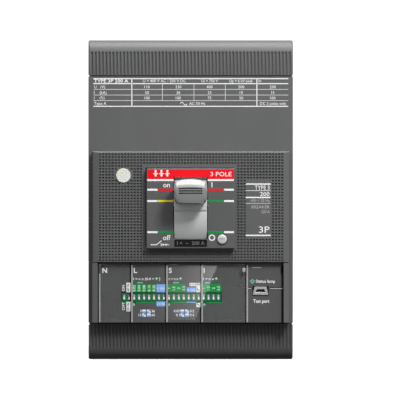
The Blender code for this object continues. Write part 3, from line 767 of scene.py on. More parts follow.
def frontSkin(bm, left, right, bottom, top, depth, columns=1, rows=1):
    size = Matrix.Diagonal(((right - left) / 2, (top - bottom) / 2, 1, 1))
    place = frontAt((left + right) / 2, (bottom + top) / 2, depth) @ size
    bmesh.ops.create_grid(bm, x_segments=columns, y_segments=rows, size=1, matrix=place)
    bmesh.ops.recalc_face_normals(bm, faces=bm.faces)
    if next(iter(bm.faces)).normal.y > 0:
        bmesh.ops.reverse_faces(bm, faces=bm.faces)


def cutAlong(bm, across=(), up=(), pick=None, along=()):
    for axis, values in ((0, across), (1, along), (2, up)):
        for value in values:
            faces = [face for face in bm.faces if pick is None or pick(face)]
            geom = {e for face in faces for e in face.edges} | {v for face in faces for v in face.verts}
            at, normal = [0, 0, 0], [0, 0, 0]
            at[axis], normal[axis] = value, 1
            bmesh.ops.bisect_plane(
                bm, geom=faces + list(geom), dist=0.0005, plane_co=at, plane_no=normal
            )


def inside(point, box):
    left, right, bottom, top = box
    return left < point.x < right and bottom < point.z < top


def pushFaces(bm, faces, forward):
    # moves a patch of front faces out (or in, when negative), with walls round it
    grown = bmesh.ops.extrude_face_region(bm, geom=faces)["geom"]
    bmesh.ops.translate(bm, vec=(0, -forward, 0), verts=vertsIn(grown))
    bmesh.ops.delete(bm, geom=[face for face in faces if face.is_valid], context="FACES")


def boundaryLoops(bm):
    # the open loops of a skin, the outer one first
    loose = {edge for edge in bm.edges if edge.is_boundary}
    loops = []
    while loose:
        start = loose.pop()
        loop, ends = [start], list(start.verts)
        while ends:
            vertex = ends.pop()
            for edge in vertex.link_edges:
                if edge in loose:
                    loose.discard(edge)
                    loop.append(edge)
                    ends.append(edge.other_vert(vertex))
        loops.append(loop)

    def width(loop):
        xs = [vertex.co.x for edge in loop for vertex in edge.verts]
        return max(xs) - min(xs)

    return sorted(loops, key=width, reverse=True)


def closeShell(bm, box, rear, wall, back):
    # box is the outline. Walls run to rear, and the front wall ends at the depth back.
    outer, *holes = boundaryLoops(bm)
    left, right, bottom, top = box
    outer = innerLoop(bm, outer, rear, stay)
    inner = clampTo(left + wall, right - wall, bottom + wall, top - wall)
    outer = innerLoop(bm, outer, rear, inner)
    outer = innerLoop(bm, outer, back, stay)
    rims = list(outer)
    for hole in holes:
        rims += innerLoop(bm, hole, back, stay)
    bmesh.ops.triangle_fill(bm, use_beauty=True, edges=rims, normal=(0, 1, 0))
    bmesh.ops.remove_doubles(bm, verts=bm.verts, dist=0.001)
    bmesh.ops.dissolve_degenerate(bm, dist=0.001, edges=bm.edges)


print("terminal covers and main cover")
coverLook = {"corner": 1.3, "ribs": 57, "grooveInset": 0.42, "grooveWall": 0.16, "grooveDepth": 0.6}


def makeTerminalCover(name, node, material):
    low, high = nodeBox(node)
    bm = copyOfNode(node)

    def onSide(edge):
        return any(abs(face.normal.x) > 0.99 for face in edge.link_faces) and all(
            abs(abs(vertex.co.x) - high.x) < 0.01 for vertex in edge.verts
        )

    softEdges(bm, coverLook["corner"], 4, 40.0, onSide)
    softEdges(bm, 0.25, 2, 50.0, lambda edge: edge.calc_length() > 2.0)

    def ofFront(face):
        return face.normal.y < -0.999 and abs(face.calc_center_median().y - low.y) < 0.01

    front = [face for face in bm.faces if ofFront(face)]
    xs = [vertex.co.x for face in front for vertex in face.verts]
    left, right = min(xs), max(xs)
    pitch = (right - left) / coverLook["ribs"]
    cutAlong(bm, [left + pitch * i for i in range(1, coverLook["ribs"])], (), ofFront)
    strips = [face for face in bm.faces if ofFront(face) and face.calc_area() > pitch * 5]
    bmesh.ops.inset_individual(
        bm, faces=strips, thickness=coverLook["grooveInset"], use_even_offset=True
    )
    bmesh.ops.inset_individual(
        bm,
        faces=strips,
        thickness=coverLook["grooveWall"],
        depth=-coverLook["grooveDepth"],
        use_even_offset=True,
    )
    addPiece(name, bm, material, stands=[node], fix=False)


makeTerminalCover("upperTerminalCoverRibbed", "upper_terminal_cover", casePlastic)
# the lower cover takes the darker copy of the case plastic, as painted shade
makeTerminalCover("lowerTerminalCoverRibbed", "lower_terminal_cover", casePaintedShade)

print("front panel")
panelLook = {
    "dotted": (-47.2, 47.7, -31.85, 23.95),
    "columns": 59,
    "rows": 37,
    "plain": ((-24.0, 24.0, -26.2, 18.0), (27.9, 41.6, -19.2, 10.6)),
    "plainRound": 4.5,
    "dimpleInset": 0.33,
    "dimpleWall": 0.04,
    "dimpleDepth": 0.6,
    "slope": 1.0,
    "edge": 0.4,
}


def makeFrontPanel():
    low, high = nodeBox("front_panel")
    plate = nodeBox("escutcheon")
    seal = (nodeBox("warranty_seal")[0] + nodeBox("warranty_seal")[1]) / 2
    depth = -low.y
    bm = bmesh.new()
    frontSkin(bm, *panelLook["dotted"], depth, panelLook["columns"], panelLook["rows"])
    opening = (plate[0].x, plate[1].x, plate[0].z, plate[1].z)
    gone = [face for face in bm.faces if inside(face.calc_center_median(), opening)]
    bmesh.ops.delete(bm, geom=gone, context="FACES")

    def dotted(face):
        centre = face.calc_center_median()
        away = (Vector((centre.x, centre.z)) - Vector((seal.x, seal.z))).length
        plain = any(inside(centre, box) for box in panelLook["plain"])
        return away > panelLook["plainRound"] and not plain

    cells = [face for face in bm.faces if dotted(face)]
    bmesh.ops.inset_individual(bm, faces=cells, thickness=panelLook["dimpleInset"])
    bmesh.ops.inset_individual(
        bm, faces=cells, thickness=panelLook["dimpleWall"], depth=-panelLook["dimpleDepth"]
    )
    left, right, bottom, top = panelLook["dotted"]
    outline = (low.x, high.x, low.z, high.z)
    slope, edge = panelLook["slope"], panelLook["edge"]

    def widen(short):
        def move(x, z):
            if x < left + 0.01:
                x = low.x + short
            if x > right - 0.01:
                x = high.x - short
            if z < bottom + 0.01:
                z = low.z + min(short, 0.12)
            if z > top - 0.01:
                z = high.z - short
            return x, z

        return move

    outer = boundaryLoops(bm)[0]
    outer = innerLoop(bm, outer, depth - slope, widen(edge))
    outer = innerLoop(
        bm,
        outer,
        depth - slope - edge,
        lambda x, z: (
            low.x if x < left else high.x if x > right else x,
            low.z if z < bottom else high.z if z > top else z,
        ),
    )
    closeShell(bm, outline, -high.y, 2.0, depth - 3.0)
    addPiece("frontPanelDimpled", bm, panelPlastic, stands=["front_panel"])


makeFrontPanel()

print("escutcheon and its print")
plateLook = {
    "edge": 0.45,
    "redBand": (10.5, 16.0),
    "whiteBand": (9.55, 10.5),
    "slot": (8.7, 11.6),  # half the width, and the top
    "lines": {"on": 5.1, "trip": -0.67, "off": -16.6},
    "lineHalf": 0.5,
    "whiteEnds": ((-22.15, -16.9), (17.1, 22.15)),
    "colorEnds": ((-16.7, -8.75), (8.75, 16.8)),
    "ratingLabel": (-8.35, 8.4, -24.1, -20.3),
}


def makeEscutcheon():
    low, high = nodeBox("escutcheon")
    bm = copyOfNode("escutcheon")
    softEdges(bm, plateLook["edge"], 3, 50.0, longerThan(5.0))
    addPiece("escutcheonPlate", bm, platePlastic, stands=["escutcheon"], fix=False)
    depth = -low.y
    slotHalf, slotTop = plateLook["slot"]
    left, right = low.x + plateLook["edge"], high.x - plateLook["edge"]
    bottom, top = plateLook["redBand"]
    top = high.z - plateLook["edge"]
    bands = [(left, -slotHalf, bottom, top), (slotHalf, right, bottom, top)]
    bands.append((-slotHalf, slotHalf, slotTop, top))
    printPiece("redBand", redInk, depth, bands)
    bottom, top = plateLook["whiteBand"]
    bars = [(left, -slotHalf, bottom, top), (slotHalf, right, bottom, top)]
    half = plateLook["lineHalf"]
    for z in plateLook["lines"].values():
        bars += [(start, end, z - half, z + half) for start, end in plateLook["whiteEnds"]]
    words = [
        ("on", -12.3, 6.35, 2.5, {"bold": 0.035}),
        ("I", 10.9, 6.35, 2.5, {"bold": 0.05}),
        ("off", -12.2, -20.6, 2.5, {"bold": 0.035}),
    ]
    printPiece("plateMarksWhite", whiteInk, depth, bars, words)
    colors = {"on": (redInk, redInk), "trip": (yellowInk, greenInk), "off": (greenInk, greenInk)}
    for label, inks in colors.items():
        z = plateLook["lines"][label]
        for side, (start, end), used in zip(("Left", "Right"), plateLook["colorEnds"], inks):
            name = f"indexLine{label.capitalize()}{side}"
            printPiece(name, used, depth, [(start, end, z - half, z + half)])
    # on the red band: three contacts, and the number of poles
    raised = depth + printing["proud"]
    bars = []
    for x in (-17.9, -14.9, -11.9):
        bars += [(x - 0.45, x + 0.45, 13.75, 15.2), (x - 0.45, x + 0.45, 11.9, 13.1)]
        bars.append((x - 1.15, x + 1.15, 13.1, 13.55))
    words = [("3 POLE", 15.5, 12.0, 2.15, {"bold": 0.02, "width": 10.8})]
    printPiece("bandMarks", whiteInk, raised, bars, words)
    # the ring of the off mark, and the isolator symbol
    bm = bmesh.new()
    proud = printing["proud"]
    ring = [(1.05, -0.02), (1.65, -0.02), (1.65, proud), (1.05, proud), (1.05, -0.02)]
    addTurned(bm, ring, frontAt(10.9, -19.4, depth), 28)
    stroke = 0.42
    z = -23.0
    addBar(bm, -20.4, -17.2, z - stroke / 2, z + stroke / 2, depth)
    slant = [(0, 0), (2.6, 2.0), (2.35, 2.3), (-0.2, 0.35)]
    addSlab(bm, slant, frontAt(-17.3, z - 0.1, depth - 0.01), proud)
    addBar(bm, -15.2, -14.85, z - 0.75, z + 0.75, depth)
    for side in (-1, 1):
        arrow = [(0, 0), (side * 0.95, 0.7), (side * 0.95, -0.7)]
        if side < 0:
            arrow.reverse()
        addSlab(bm, arrow, frontAt(-13.3, z, depth - 0.01), proud)
    addBar(bm, -14.4, -10.9, z - 0.16, z + 0.16, depth)
    addPiece("offRingAndSymbol", bm, whiteInk, fix=False)
    printPiece("ratingLabel", blackInk, depth, [plateLook["ratingLabel"]])
    words = [("I =  ~  200 A", 0.1, -23.1, 1.8, {"width": 14.0})]
    printPiece("ratingLabelText", dimInk, raised, (), words)


makeEscutcheon()

print("toggle")
toggleLook = {
    "noseHalf": (8.55, 5.9),
    "rootHalf": (8.1, 4.4),
    "tipRadius": 40.0,
    "rootRadius": 25.4,
    "crown": 1.5,
    "arch": 0.75,
    "cornerPull": 0.2,
    "lowerRound": 0.2,
    "rim": 1.1,
    "grooves": ((0.35, 1.1), (-0.8, -0.05), (-1.95, -1.2)),
    "grooveHalf": 6.0,
    "grooveDepth": 1.5,
    "rootFoot": 1.2,
    "lift": 15.8,  # degrees up from straight ahead
    "shieldRadius": 26.0,
    "shieldWall": 2.0,
}
# outer radius over the shield's, start and end in degrees, steps, half width, and flare
shieldArcs = ((0.0, -35.5, 73.6, 40, 8.4, 0.0), (0.45, 0.4, 33.0, 14, 8.35, 1.0))


def makeToggle():
    pivot = pivotOf("handle_swing")
    halfWidth, halfHeight = toggleLook["noseHalf"]
    tip = -pivot.y + toggleLook["tipRadius"]
    lift = Matrix.Rotation(-math.radians(toggleLook["lift"]), 4, "X")
    swing = Matrix.Translation(pivot) @ lift @ Matrix.Translation(-pivot)
    bm = bmesh.new()
    frontSkin(bm, -halfWidth, halfWidth, pivot.z - halfHeight, pivot.z + halfHeight, tip, 14, 10)
    rows = [pivot.z + edge for pair in toggleLook["grooves"] for edge in pair]
    cutAlong(bm, (-toggleLook["grooveHalf"], toggleLook["grooveHalf"]), rows)
    grooves = []
    for foot, top in toggleLook["grooves"]:
        box = (-toggleLook["grooveHalf"], toggleLook["grooveHalf"], pivot.z + foot, pivot.z + top)
        grooves.append([face for face in bm.faces if inside(face.calc_center_median(), box)])
    outer = boundaryLoops(bm)[0]

    root = -pivot.y + toggleLook["rootRadius"]
    rootWidth, rootHeight = toggleLook["rootHalf"]
    outer = innerLoop(bm, outer, tip - 3.0, stay)
    foot = toggleLook["rootFoot"]

    def toRoot(x, z):
        share = (z - pivot.z) / halfHeight
        return x * rootWidth / halfWidth, pivot.z + share * (rootHeight if share > 0 else foot)

    outer = innerLoop(bm, outer, root, toRoot)
    for patch in grooves:
        pushFaces(bm, patch, -toggleLook["grooveDepth"])
    for vertex in bm.verts:
        u = vertex.co.x / halfWidth
        v = (vertex.co.z - pivot.z) / halfHeight
        share = max(0.0, min(1.0, (-vertex.co.y - root) / (tip - root)))
        pull = toggleLook["cornerPull"] * share
        # corners come in, the top edge arches, and the tip is crowned
        vertex.co.x *= math.sqrt(max(0.0, 1 - pull * v * v / 2))
        vertex.co.z = pivot.z + v * halfHeight * math.sqrt(max(0.0, 1 - pull * u * u / 2))
        vertex.co.z += toggleLook["arch"] * (1 - u * u) * max(0.0, v) * share
        vertex.co.x *= 1 - toggleLook["lowerRound"] * share * max(0.0, -v - 0.45) ** 2 / 0.3
        if share > 0.7:
            above, below = max(0.0, v - 0.1) / 0.9, max(0.0, 0.35 - v) / 1.35
            vertex.co.y += toggleLook["crown"] * (0.25 * u * u + 1.6 * above**2 + 2.4 * below**1.4)
    rim = [
        edge
        for edge in bm.edges
        if len(edge.link_faces) == 2
        and edge.calc_face_angle(0.0) > math.radians(50)
        and edge.is_convex
        and all(-v.co.y > tip - 2.6 for v in edge.verts)
        and (
            max(abs(v.co.x) / halfWidth for v in edge.verts) > 0.75
            or all(abs(v.co.z - pivot.z) > halfHeight * 0.8 for v in edge.verts)
        )
    ]
    bmesh.ops.bevel(
        bm, geom=rim, offset=toggleLook["rim"], segments=4, profile=0.5, affect="EDGES", material=-1
    )
    bmesh.ops.holes_fill(bm, edges=[edge for edge in bm.edges if edge.is_boundary], sides=0)
    bmesh.ops.recalc_face_normals(bm, faces=bm.faces)
    bmesh.ops.transform(bm, matrix=swing, verts=bm.verts)
    addPiece("toggleNose", bm, togglePlastic, "toggle", ["toggle_handle"], fix=False)
    # the barrel shield and the collar round the nose's foot, in a lighter copy of the toggle plastic:
    # painted light
    bm = bmesh.new()
    radius = toggleLook["shieldRadius"]
    for over, start, end, steps, half, flare in shieldArcs:
        made = bmesh.new()
        points = []
        for reach, turn in ((radius + over, 1), (radius - toggleLook["shieldWall"], -1)):
            angles = [start + (end - start) * i / steps for i in range(steps + 1)][::turn]
            for angle in angles:
                a = math.radians(angle)
                far = reach + (min(1.0, (angle - start) / 14) * flare if turn > 0 else 0)
                points.append((-half, pivot.y - far * math.cos(a), pivot.z + far * math.sin(a)))
        drawOut(made, points, (2 * half, 0, 0))
        softEdges(made, 0.25, 2, 50.0)
        mergeIn(bm, made)
    addPiece("toggleShield", bm, shieldPaintedLightPlastic, "toggle", fix=False)


makeToggle()

print("trip unit")
tripLook = {
    "dividers": (-46.6, -30.05, -12.1, 5.9, 29.0),
    "strip": 0.8,
    "gap": 0.55,
    "gapDepth": 1.2,
    "stripTop": -33.4,
    "stripLift": 0.3,
    "shadow": 0.75,
    "clipGap": (-38.1, -34.3),
    "crossAt": -45.55,
    "crossGap": (31.0, 40.6),
    "notch": (46.1, -38.2, -34.4),  # left side, foot and top
    "pads": (-25.9, -7.5, 8.65),
    "lamp": (31.65, -41.85),
}
tripPrint = {
    "letters": {"N": -44.0, "L": -28.3, "S": -10.4, "I": 6.9},
    # left side of each small table, then its numbers
    "tables": ((-25.2, "3", "12", "36", "60"), (-5.6, "0.05", "0.1", "0.2", "0.4")),
    "tableFoot": -57.95,
    "tableRow": 2.0,
    "dots": (-29.0, -11.0, 7.05),
    "dotHeight": -53.6,
    "dotRadius": 1.05,
    "plusBoxes": (-18.3, -6.05, 12.25),
    # first place and numbers of each scale
    "scales": (
        (-28.92, ("0.02", "0.04", "0.08", "0.16", "0.32")),
        (-11.14, ("1", "1.5", "2", "5.5")),
        (6.64, ("1", "1.5", "2", "5.5")),
    ),
    "white": (
        (-32.9, -30.85, -47.4, -42.5),
        (-32.9, -30.85, -57.2, -52.3),
        (-0.6, 4.9, -44.3, -42.6),
        (2.9, 4.9, -47.4, -44.3),
        (2.9, 4.9, -55.0, -52.2),
    ),
    "blue": (
        (-17.5, -13.0, -47.4, -43.3),
        (-17.5, -13.0, -54.6, -52.1),
        (-2.0, 2.7, -47.4, -44.9),
        (-2.0, 2.7, -52.8, -52.2),
    ),
    "green": (
        (-30.1, -17.75, -47.4, -43.35),
        (-11.7, -2.35, -47.4, -43.35),
        (5.8, 15.6, -47.4, -43.35),
        (-34.9, -32.95, -52.8, -52.2),
        (-30.8, -17.6, -52.8, -52.2),
        (-12.9, -2.1, -52.8, -52.2),
        (2.75, 15.6, -52.8, -52.2),
    ),
}


def crossStrips():
    # the two spans of the strip that crosses the last field
    start = tripLook["dividers"][-1] + tripLook["strip"] / 2
    left, right = tripLook["crossGap"]
    return (start, left), (right, nodeBox("trip_unit_case")[1].x)


def makeTripHousing():
    low, high = nodeBox("trip_unit_case")
    depth = -low.y
    outline = (low.x, high.x, low.z, high.z)
    half, gap, cross = tripLook["strip"] / 2, tripLook["gap"], tripLook["crossAt"]
    notchLeft, notchFoot, notchTop = tripLook["notch"]
    boxes = [nodeBox(node) for node in ("dip_switch_block", "test_connector")]
    windows = [(b[0].x - 0.3, b[1].x + 0.3, b[0].z - 0.3, b[1].z + 0.3) for b in boxes]
    sides = tripLook["dividers"]
    grooves = [(x - half - gap, x - half, low.z + 0.02, high.z - 0.02) for x in sides]
    grooves += [
        (left, min(right, high.x - 0.02), cross + 0.3, cross + 0.65) for left, right in crossStrips()
    ]
    grooves.append((notchLeft, high.x - 0.02, notchFoot, notchTop))
    across = sorted({x for box in windows + grooves for x in box[:2]})
    up = sorted({z for box in windows + grooves for z in box[2:]})
    bm = bmesh.new()
    frontSkin(bm, *outline, depth)
    cutAlong(bm, across, up)
    gone = [f for f in bm.faces if any(inside(f.calc_center_median(), box) for box in windows)]
    bmesh.ops.delete(bm, geom=gone, context="FACES")
    sunk = [f for f in bm.faces if any(inside(f.calc_center_median(), box) for box in grooves)]
    pushFaces(bm, sunk, -tripLook["gapDepth"])
    closeShell(bm, outline, -high.y, 2.0, depth - 2.0)
    addPiece("tripUnitHousing", bm, tripPlastic, stands=["trip_unit_case"])


def makeTripDividers():
    low, high = nodeBox("trip_unit_case")
    depth = -low.y
    half, cross, lift = tripLook["strip"] / 2, tripLook["crossAt"], tripLook["stripLift"]
    sides, stripTop = tripLook["dividers"], tripLook["stripTop"]
    clipLow, clipHigh = tripLook["clipGap"]
    bm = bmesh.new()
    for x in sides:
        spans = [(low.z + 0.1, stripTop)]
        if x == sides[0]:
            spans = [(low.z + 0.1, clipLow), (clipHigh, stripTop)]
        for bottom, top in spans:
            addBox(bm, (x - half, -depth - lift, bottom), (x + half, -depth + 0.1, top), 0.12)
    for left, right in crossStrips():
        addBox(bm, (left, -depth - lift, cross - 0.3), (right, -depth + 0.1, cross + 0.3), 0.12)
    addBox(bm, (31.6, -depth - 0.1, -35.0), (36.1, -depth + 0.1, -34.65), 0.04)
    addPiece("moduleDividers", bm, dividerPlastic)
    # black bars in the groove beside each divider and under the cross strip: painted shadow
    shadow = tripLook["shadow"]
    bars = [(x - half - shadow, x - half, low.z + 0.1, high.z - 0.3) for x in sides]
    bars.append((high.x - shadow, high.x - 0.05, low.z + 0.1, high.z - 0.3))
    bars += [(left, right, cross + 0.3, cross + shadow) for left, right in crossStrips()]
    printPiece("dividerShadowLines", blackInk, depth - printing["proud"] / 2, bars)


def tableMarks():
    # words, white cells and blue quarters of the two small tables
    words, cells, checks = [], [], []
    for x, *four in tripPrint["tables"]:
        for place, text in enumerate(four):
            row, column = place % 2, place // 2
            foot = tripPrint["tableFoot"] - tripPrint["tableRow"] * row
            side = "LEFT" if column else "RIGHT"
            more = {"align": side, "bold": 0.02}
            words.append((text, x + 5.2 * column, foot + 0.3, 1.25, more))
            left = x + 0.35 + column * 2.45
            cells.append((left, left + 1.95, foot, foot + 1.7))
            pair = ((0, 0), (1, 0)) if row == column else ((0, 0), (1, 1))
            checks += [
                (left + 0.97 * i, left + 0.97 * (i + 1), foot + 0.85 * j, foot + 0.85 * (j + 1))
                for i, j in pair
            ]
    return words, cells, checks


def makeTripMarks():
    depth = -nodeBox("trip_unit_case")[0].y
    raised = depth + printing["proud"]
    letters = tripPrint["letters"].items()
    words = [(letter, x, -37.45, 2.45, {"bold": 0.09}) for letter, x in letters]
    words += [
        ("I = n x (0.4 +", -18.75, -41.15, 1.25, {"align": "RIGHT", "width": 10.6, "bold": 0.03}),
        (")", -15.9, -41.15, 1.4, {"bold": 0.03}),
        ("t = n x", -6.3, -41.15, 1.25, {"align": "RIGHT", "width": 5.0, "bold": 0.03}),
        ("I = n x", 12.0, -41.15, 1.25, {"align": "RIGHT", "width": 5.6, "bold": 0.03}),
        ("ON", -33.75, -45.3, 1.35, {"turn": 90, "width": 3.1, "bold": 0.02}),
        ("OFF", -33.75, -54.5, 1.35, {"turn": 90, "width": 4.3, "bold": 0.02}),
        ("Status lamp", 33.4, -42.5, 1.5, {"align": "LEFT", "width": 9.9, "bold": 0.03}),
        ("Test port", 36.2, -52.8, 1.75, {"width": 8.2, "bold": 0.05}),
    ]
    tableWords, cells, checks = tableMarks()
    bars = [*tripPrint["white"], *cells]
    printPiece("tripMarksWhite", whiteInk, depth, bars, words + tableWords)
    printPiece("switchTablesBlue", blueInk, raised, checks)
    printPiece("labelsBlue", blueInk, depth, tripPrint["blue"])
    plusBoxes, dots = tripPrint["plusBoxes"], tripPrint["dots"]
    foot, radius = tripPrint["dotHeight"], tripPrint["dotRadius"]
    bm = bmesh.new()
    for bar in [*tripPrint["green"], *((x, x + 1.75, -41.4, -39.65) for x in plusBoxes)]:
        addBar(bm, *bar, depth)
    for x in dots:
        addRod(bm, (x, -depth + 0.02, foot), (x, -raised, foot), radius, 20)
        addBar(bm, x - radius, x + radius, foot, -52.5, depth)
    addPiece("labelsGreen", bm, greenInk, fix=False)
    scale = []
    for start, values in tripPrint["scales"]:
        for i, text in enumerate(values):
            more = {"turn": 90, "bold": 0.02}
            if len(text) > 3:
                more["width"] = 3.2
            scale.append((text, start + 2.54 * i + 0.62, -45.35, 1.3, more))
    scale += [("0", x, -54.2, 1.25, {"bold": 0.02}) for x in dots]
    scale += [
        ("t (s)", -15.25, -45.9, 1.2, {"width": 3.6, "bold": 0.02}),
        ("t = 36", -15.25, -53.95, 1.2, {"width": 3.9, "bold": 0.02}),
        ("t (s)", 0.35, -46.7, 1.1, {"width": 3.8, "bold": 0.02}),
    ]
    scale += [("+", x + 0.875, -41.15, 1.5, {"bold": 0.05}) for x in plusBoxes]
    printPiece("scaleNumbersWhite", whiteInk, raised, (), scale)
    dark = [
        ("60 Hz", -31.45, -44.95, 1.15, {"turn": 90, "width": 4.1, "bold": 0.02}),
        ("50 Hz", -31.45, -54.75, 1.15, {"turn": 90, "width": 4.1, "bold": 0.02}),
        ("k = ON", 2.15, -43.9, 1.0, {"width": 4.8, "bold": 0.02}),
    ]
    printPiece("boxMarksDark", blackInk, raised, (), dark)
    # two small trip curves
    curve = [(0, 2.0), (0.25, 2.0), (0.25, 0.95), (1.15, 0.95)]
    curve += [(1.15, 0), (0.9, 0), (0.9, 0.7), (0, 0.7)]
    bm = bmesh.new()
    for z in (-47.0, -54.6):
        addSlab(bm, curve, frontAt(3.3, z, raised - 0.01), printing["proud"])
    addPiece("curveMarksDark", bm, blackInk)


def makeTripLamps():
    depth = -nodeBox("trip_unit_case")[0].y
    centre = tripLook["lamp"]
    bm = bmesh.new()
    for x in tripLook["pads"]:
        addBox(bm, (x - 1.45, -depth - 0.12, -42.85), (x + 1.45, -depth + 0.1, -42.2), 0.06)
    diamond = [(0.62, -0.02), (1.3, -0.02), (1.3, 0.14), (0.62, 0.14), (0.62, -0.02)]
    addTurned(bm, diamond, frontAt(*centre, depth), 4)
    addPiece("lampsTeal", bm, tealInk, fix=False)
    bm = bmesh.new()
    lens = [(0.0, -0.02), (0.58, -0.02), (0.58, 0.06), (0.3, 0.12), (0.0, 0.14)]
    addTurned(bm, lens, frontAt(*centre, depth), 4)
    addPiece("statusLampLens", bm, tripPlastic, fix=False)


makeTripHousing()
makeTripDividers()
makeTripMarks()
makeTripLamps()

print("switches, socket and flap")
switchLook = {
    "count": 20,
    "knobHalf": 0.47,
    "slotTop": -48.25,
    "floor": 74.2,
    "knob": 0.8,
    "soft": 0.1,
}


def makeSwitches():
    bm = copyOfNode("dip_switch_block")
    softEdges(bm, switchLook["soft"], 2, 50.0, longerThan(1.0))
    addPiece("switchBlockBody", bm, switchPlastic, stands=["dip_switch_block"], fix=False)
    half = switchLook["knobHalf"]
    bm = bmesh.new()
    for number in range(1, switchLook["count"] + 1):
        node = f"switch_{number:02d}"
        low, high = nodeBox(node)
        x = (low.x + high.x) / 2
        bed = -low.y - switchLook["knob"]
        far = (x + half, -switchLook["floor"], switchLook["slotTop"])
        addBox(bm, (x - half, -bed, low.z), far, 0.03)
        made = bmesh.new()
        outline = roundedRect(-half, half, 0.0, high.z - low.z, 0.4, 3)
        addSlab(made, outline, frontAt(x, low.z, bed + 0.04), switchLook["knob"] - 0.04, 0.08)
        addPiece(f"slider{number:02d}", made, whitePlastic, node, [node])
    addPiece("switchContactPlates", bm, switchCarriage)


makeSwitches()


socketLook = {
    "soft": 0.22,
    "middle": -46.5,
    "tongue": (1.6, 76.4, 72.4),  # half the width, and the two depths
    "contacts": 5,
    "pitch": 0.6,
    "floor": ((34.1, -45.85), (33.4, -47.15), (38.2, -47.15), (37.5, -45.85)),
    "floorDepth": 72.25,
    "lipOuter": ((-3.95, -2.05), (3.95, -2.05), (3.0, 2.1), (-3.0, 2.1)),
    "lipInner": ((-2.6, -0.8), (2.6, -0.8), (1.95, 0.8), (-1.95, 0.8)),
}


def makeSocket():
    low, high = nodeBox("test_connector")
    bm = copyOfNode("test_connector")
    softEdges(bm, socketLook["soft"], 2, 40.0, longerThan(0.6))
    addPiece("testSocketShell", bm, socketMetal, stands=["test_connector"], fix=False)
    centre, middle = (low.x + high.x) / 2, socketLook["middle"]
    half, front, rear = socketLook["tongue"]
    bm = bmesh.new()
    addBox(bm, (centre - half, -front, middle - 0.15), (centre + half, -rear, middle + 0.25), 0.06)
    addPiece("testSocketTongue", bm, blackPlastic)
    bm = bmesh.new()
    for i in range(socketLook["contacts"]):
        x = centre + (i - (socketLook["contacts"] - 1) / 2) * socketLook["pitch"]
        near = (x - 0.14, -front + 0.2, middle + 0.23)
        addBox(bm, near, (x + 0.14, -rear - 0.1, middle + 0.32), 0.03)
    addPiece("testSocketContacts", bm, silverTip)
    bm = bmesh.new()
    floor = [(x - centre, z - middle) for x, z in socketLook["floor"]]
    addSlab(bm, floor, frontAt(centre, middle, socketLook["floorDepth"]), 0.1)
    addPiece("testSocketFloor", bm, blackPlastic)
    # the shell's flared lip
    bm = bmesh.new()
    outer, inner = socketLook["lipOuter"], socketLook["lipInner"]
    lipAt = frontAt(centre, middle - 0.1, -low.y - 0.04)
    for i in range(4):
        j = (i + 1) % 4
        addSlab(bm, [outer[i], outer[j], inner[j], inner[i]], lipAt, 0.14)
    addPiece("testSocketLip", bm, lipMetal)


makeSocket()

flapLook = {
    "corner": 1.2,
    "topGap": 0.6,
    "knuckle": (2.5, 0.6),  # half the length, and the radius
    "lug": (26.6, 28.1, -37.0, -34.9),
}


def makeFlap():
    low, high = nodeBox("flap_window")
    pivot = pivotOf("flap_hinge")
    bm = bmesh.new()
    rear, front = -high.y, -low.y
    outline = roundedRect(
        low.x, high.x, low.z, high.z - flapLook["topGap"], flapLook["corner"]
    )
    centre = ((low.x + high.x) / 2, (low.z + high.z) / 2)
    outline = [(x - centre[0], z - centre[1]) for x, z in outline]
    addSlab(bm, outline, frontAt(*centre, rear), front - rear, 0.15)
    addPiece("flapPane", bm, clearWindow, "flap", ["flap_window"])
    bm = bmesh.new()
    half, radius = flapLook["knuckle"]
    for x in (low.x + half, high.x - half, centre[0]):
        addRod(bm, (x - half, pivot.y, pivot.z), (x + half, pivot.y, pivot.z), radius, 16, soft=0.1)
    addPiece("flapHingeKnuckles", bm, clearWindow, "flap", fix=False)
    # a finger lug near the right edge
    bm = bmesh.new()
    left, right, foot, top = flapLook["lug"]
    addBox(bm, (left, low.y - 0.5, foot), (right, low.y + 0.05, top), 0.2)
    addPiece("flapLug", bm, dividerPlastic, "flap", fix=False)


makeFlap()

print("button, seal and printed tables")


def makeButtonAndSeal():
    low, high = nodeBox("test_button")
    x, z = (low.x + high.x) / 2, (low.z + high.z) / 2
    front, rear = -low.y, -high.y
    bm = bmesh.new()
    head = [(0.0, 75.0), (2.5, 75.0), (2.5, front - 0.75), (2.35, front - 0.35)]
    head += [(2.0, front - 0.1), (1.2, front - 0.02), (0.0, front)]
    addTurned(bm, head, frontAt(x, z, 0), 36)
    stem = [(0.0, rear), (1.35, rear), (1.5, rear + 0.2), (1.5, 75.5), (0.0, 75.5)]
    addTurned(bm, stem, frontAt(x, z, 0), 24)
    addPiece("testButtonDomed", bm, buttonPlastic, "button", ["test_button"], fix=False)
    bm = bmesh.new()
    addWords(bm, "TEST", x, z - 0.45, 0.95, front - 0.03, width=3.0, bold=0.01)
    addPiece("testButtonText", bm, dimInk, "button", fix=False)
    low, high = nodeBox("warranty_seal")
    x, z = (low.x + high.x) / 2, (low.z + high.z) / 2
    bm = bmesh.new()
    radius, thick = (high.x - low.x) / 2, high.y - low.y
    disc = [(0.0, 0.0), (radius, 0.0), (radius, thick - 0.06), (radius - 0.08, thick), (0.0, thick)]
    addTurned(bm, disc, frontAt(x, z, -high.y), 48)
    addPiece("sealSticker", bm, sealPaper, stands=["warranty_seal"], fix=False)


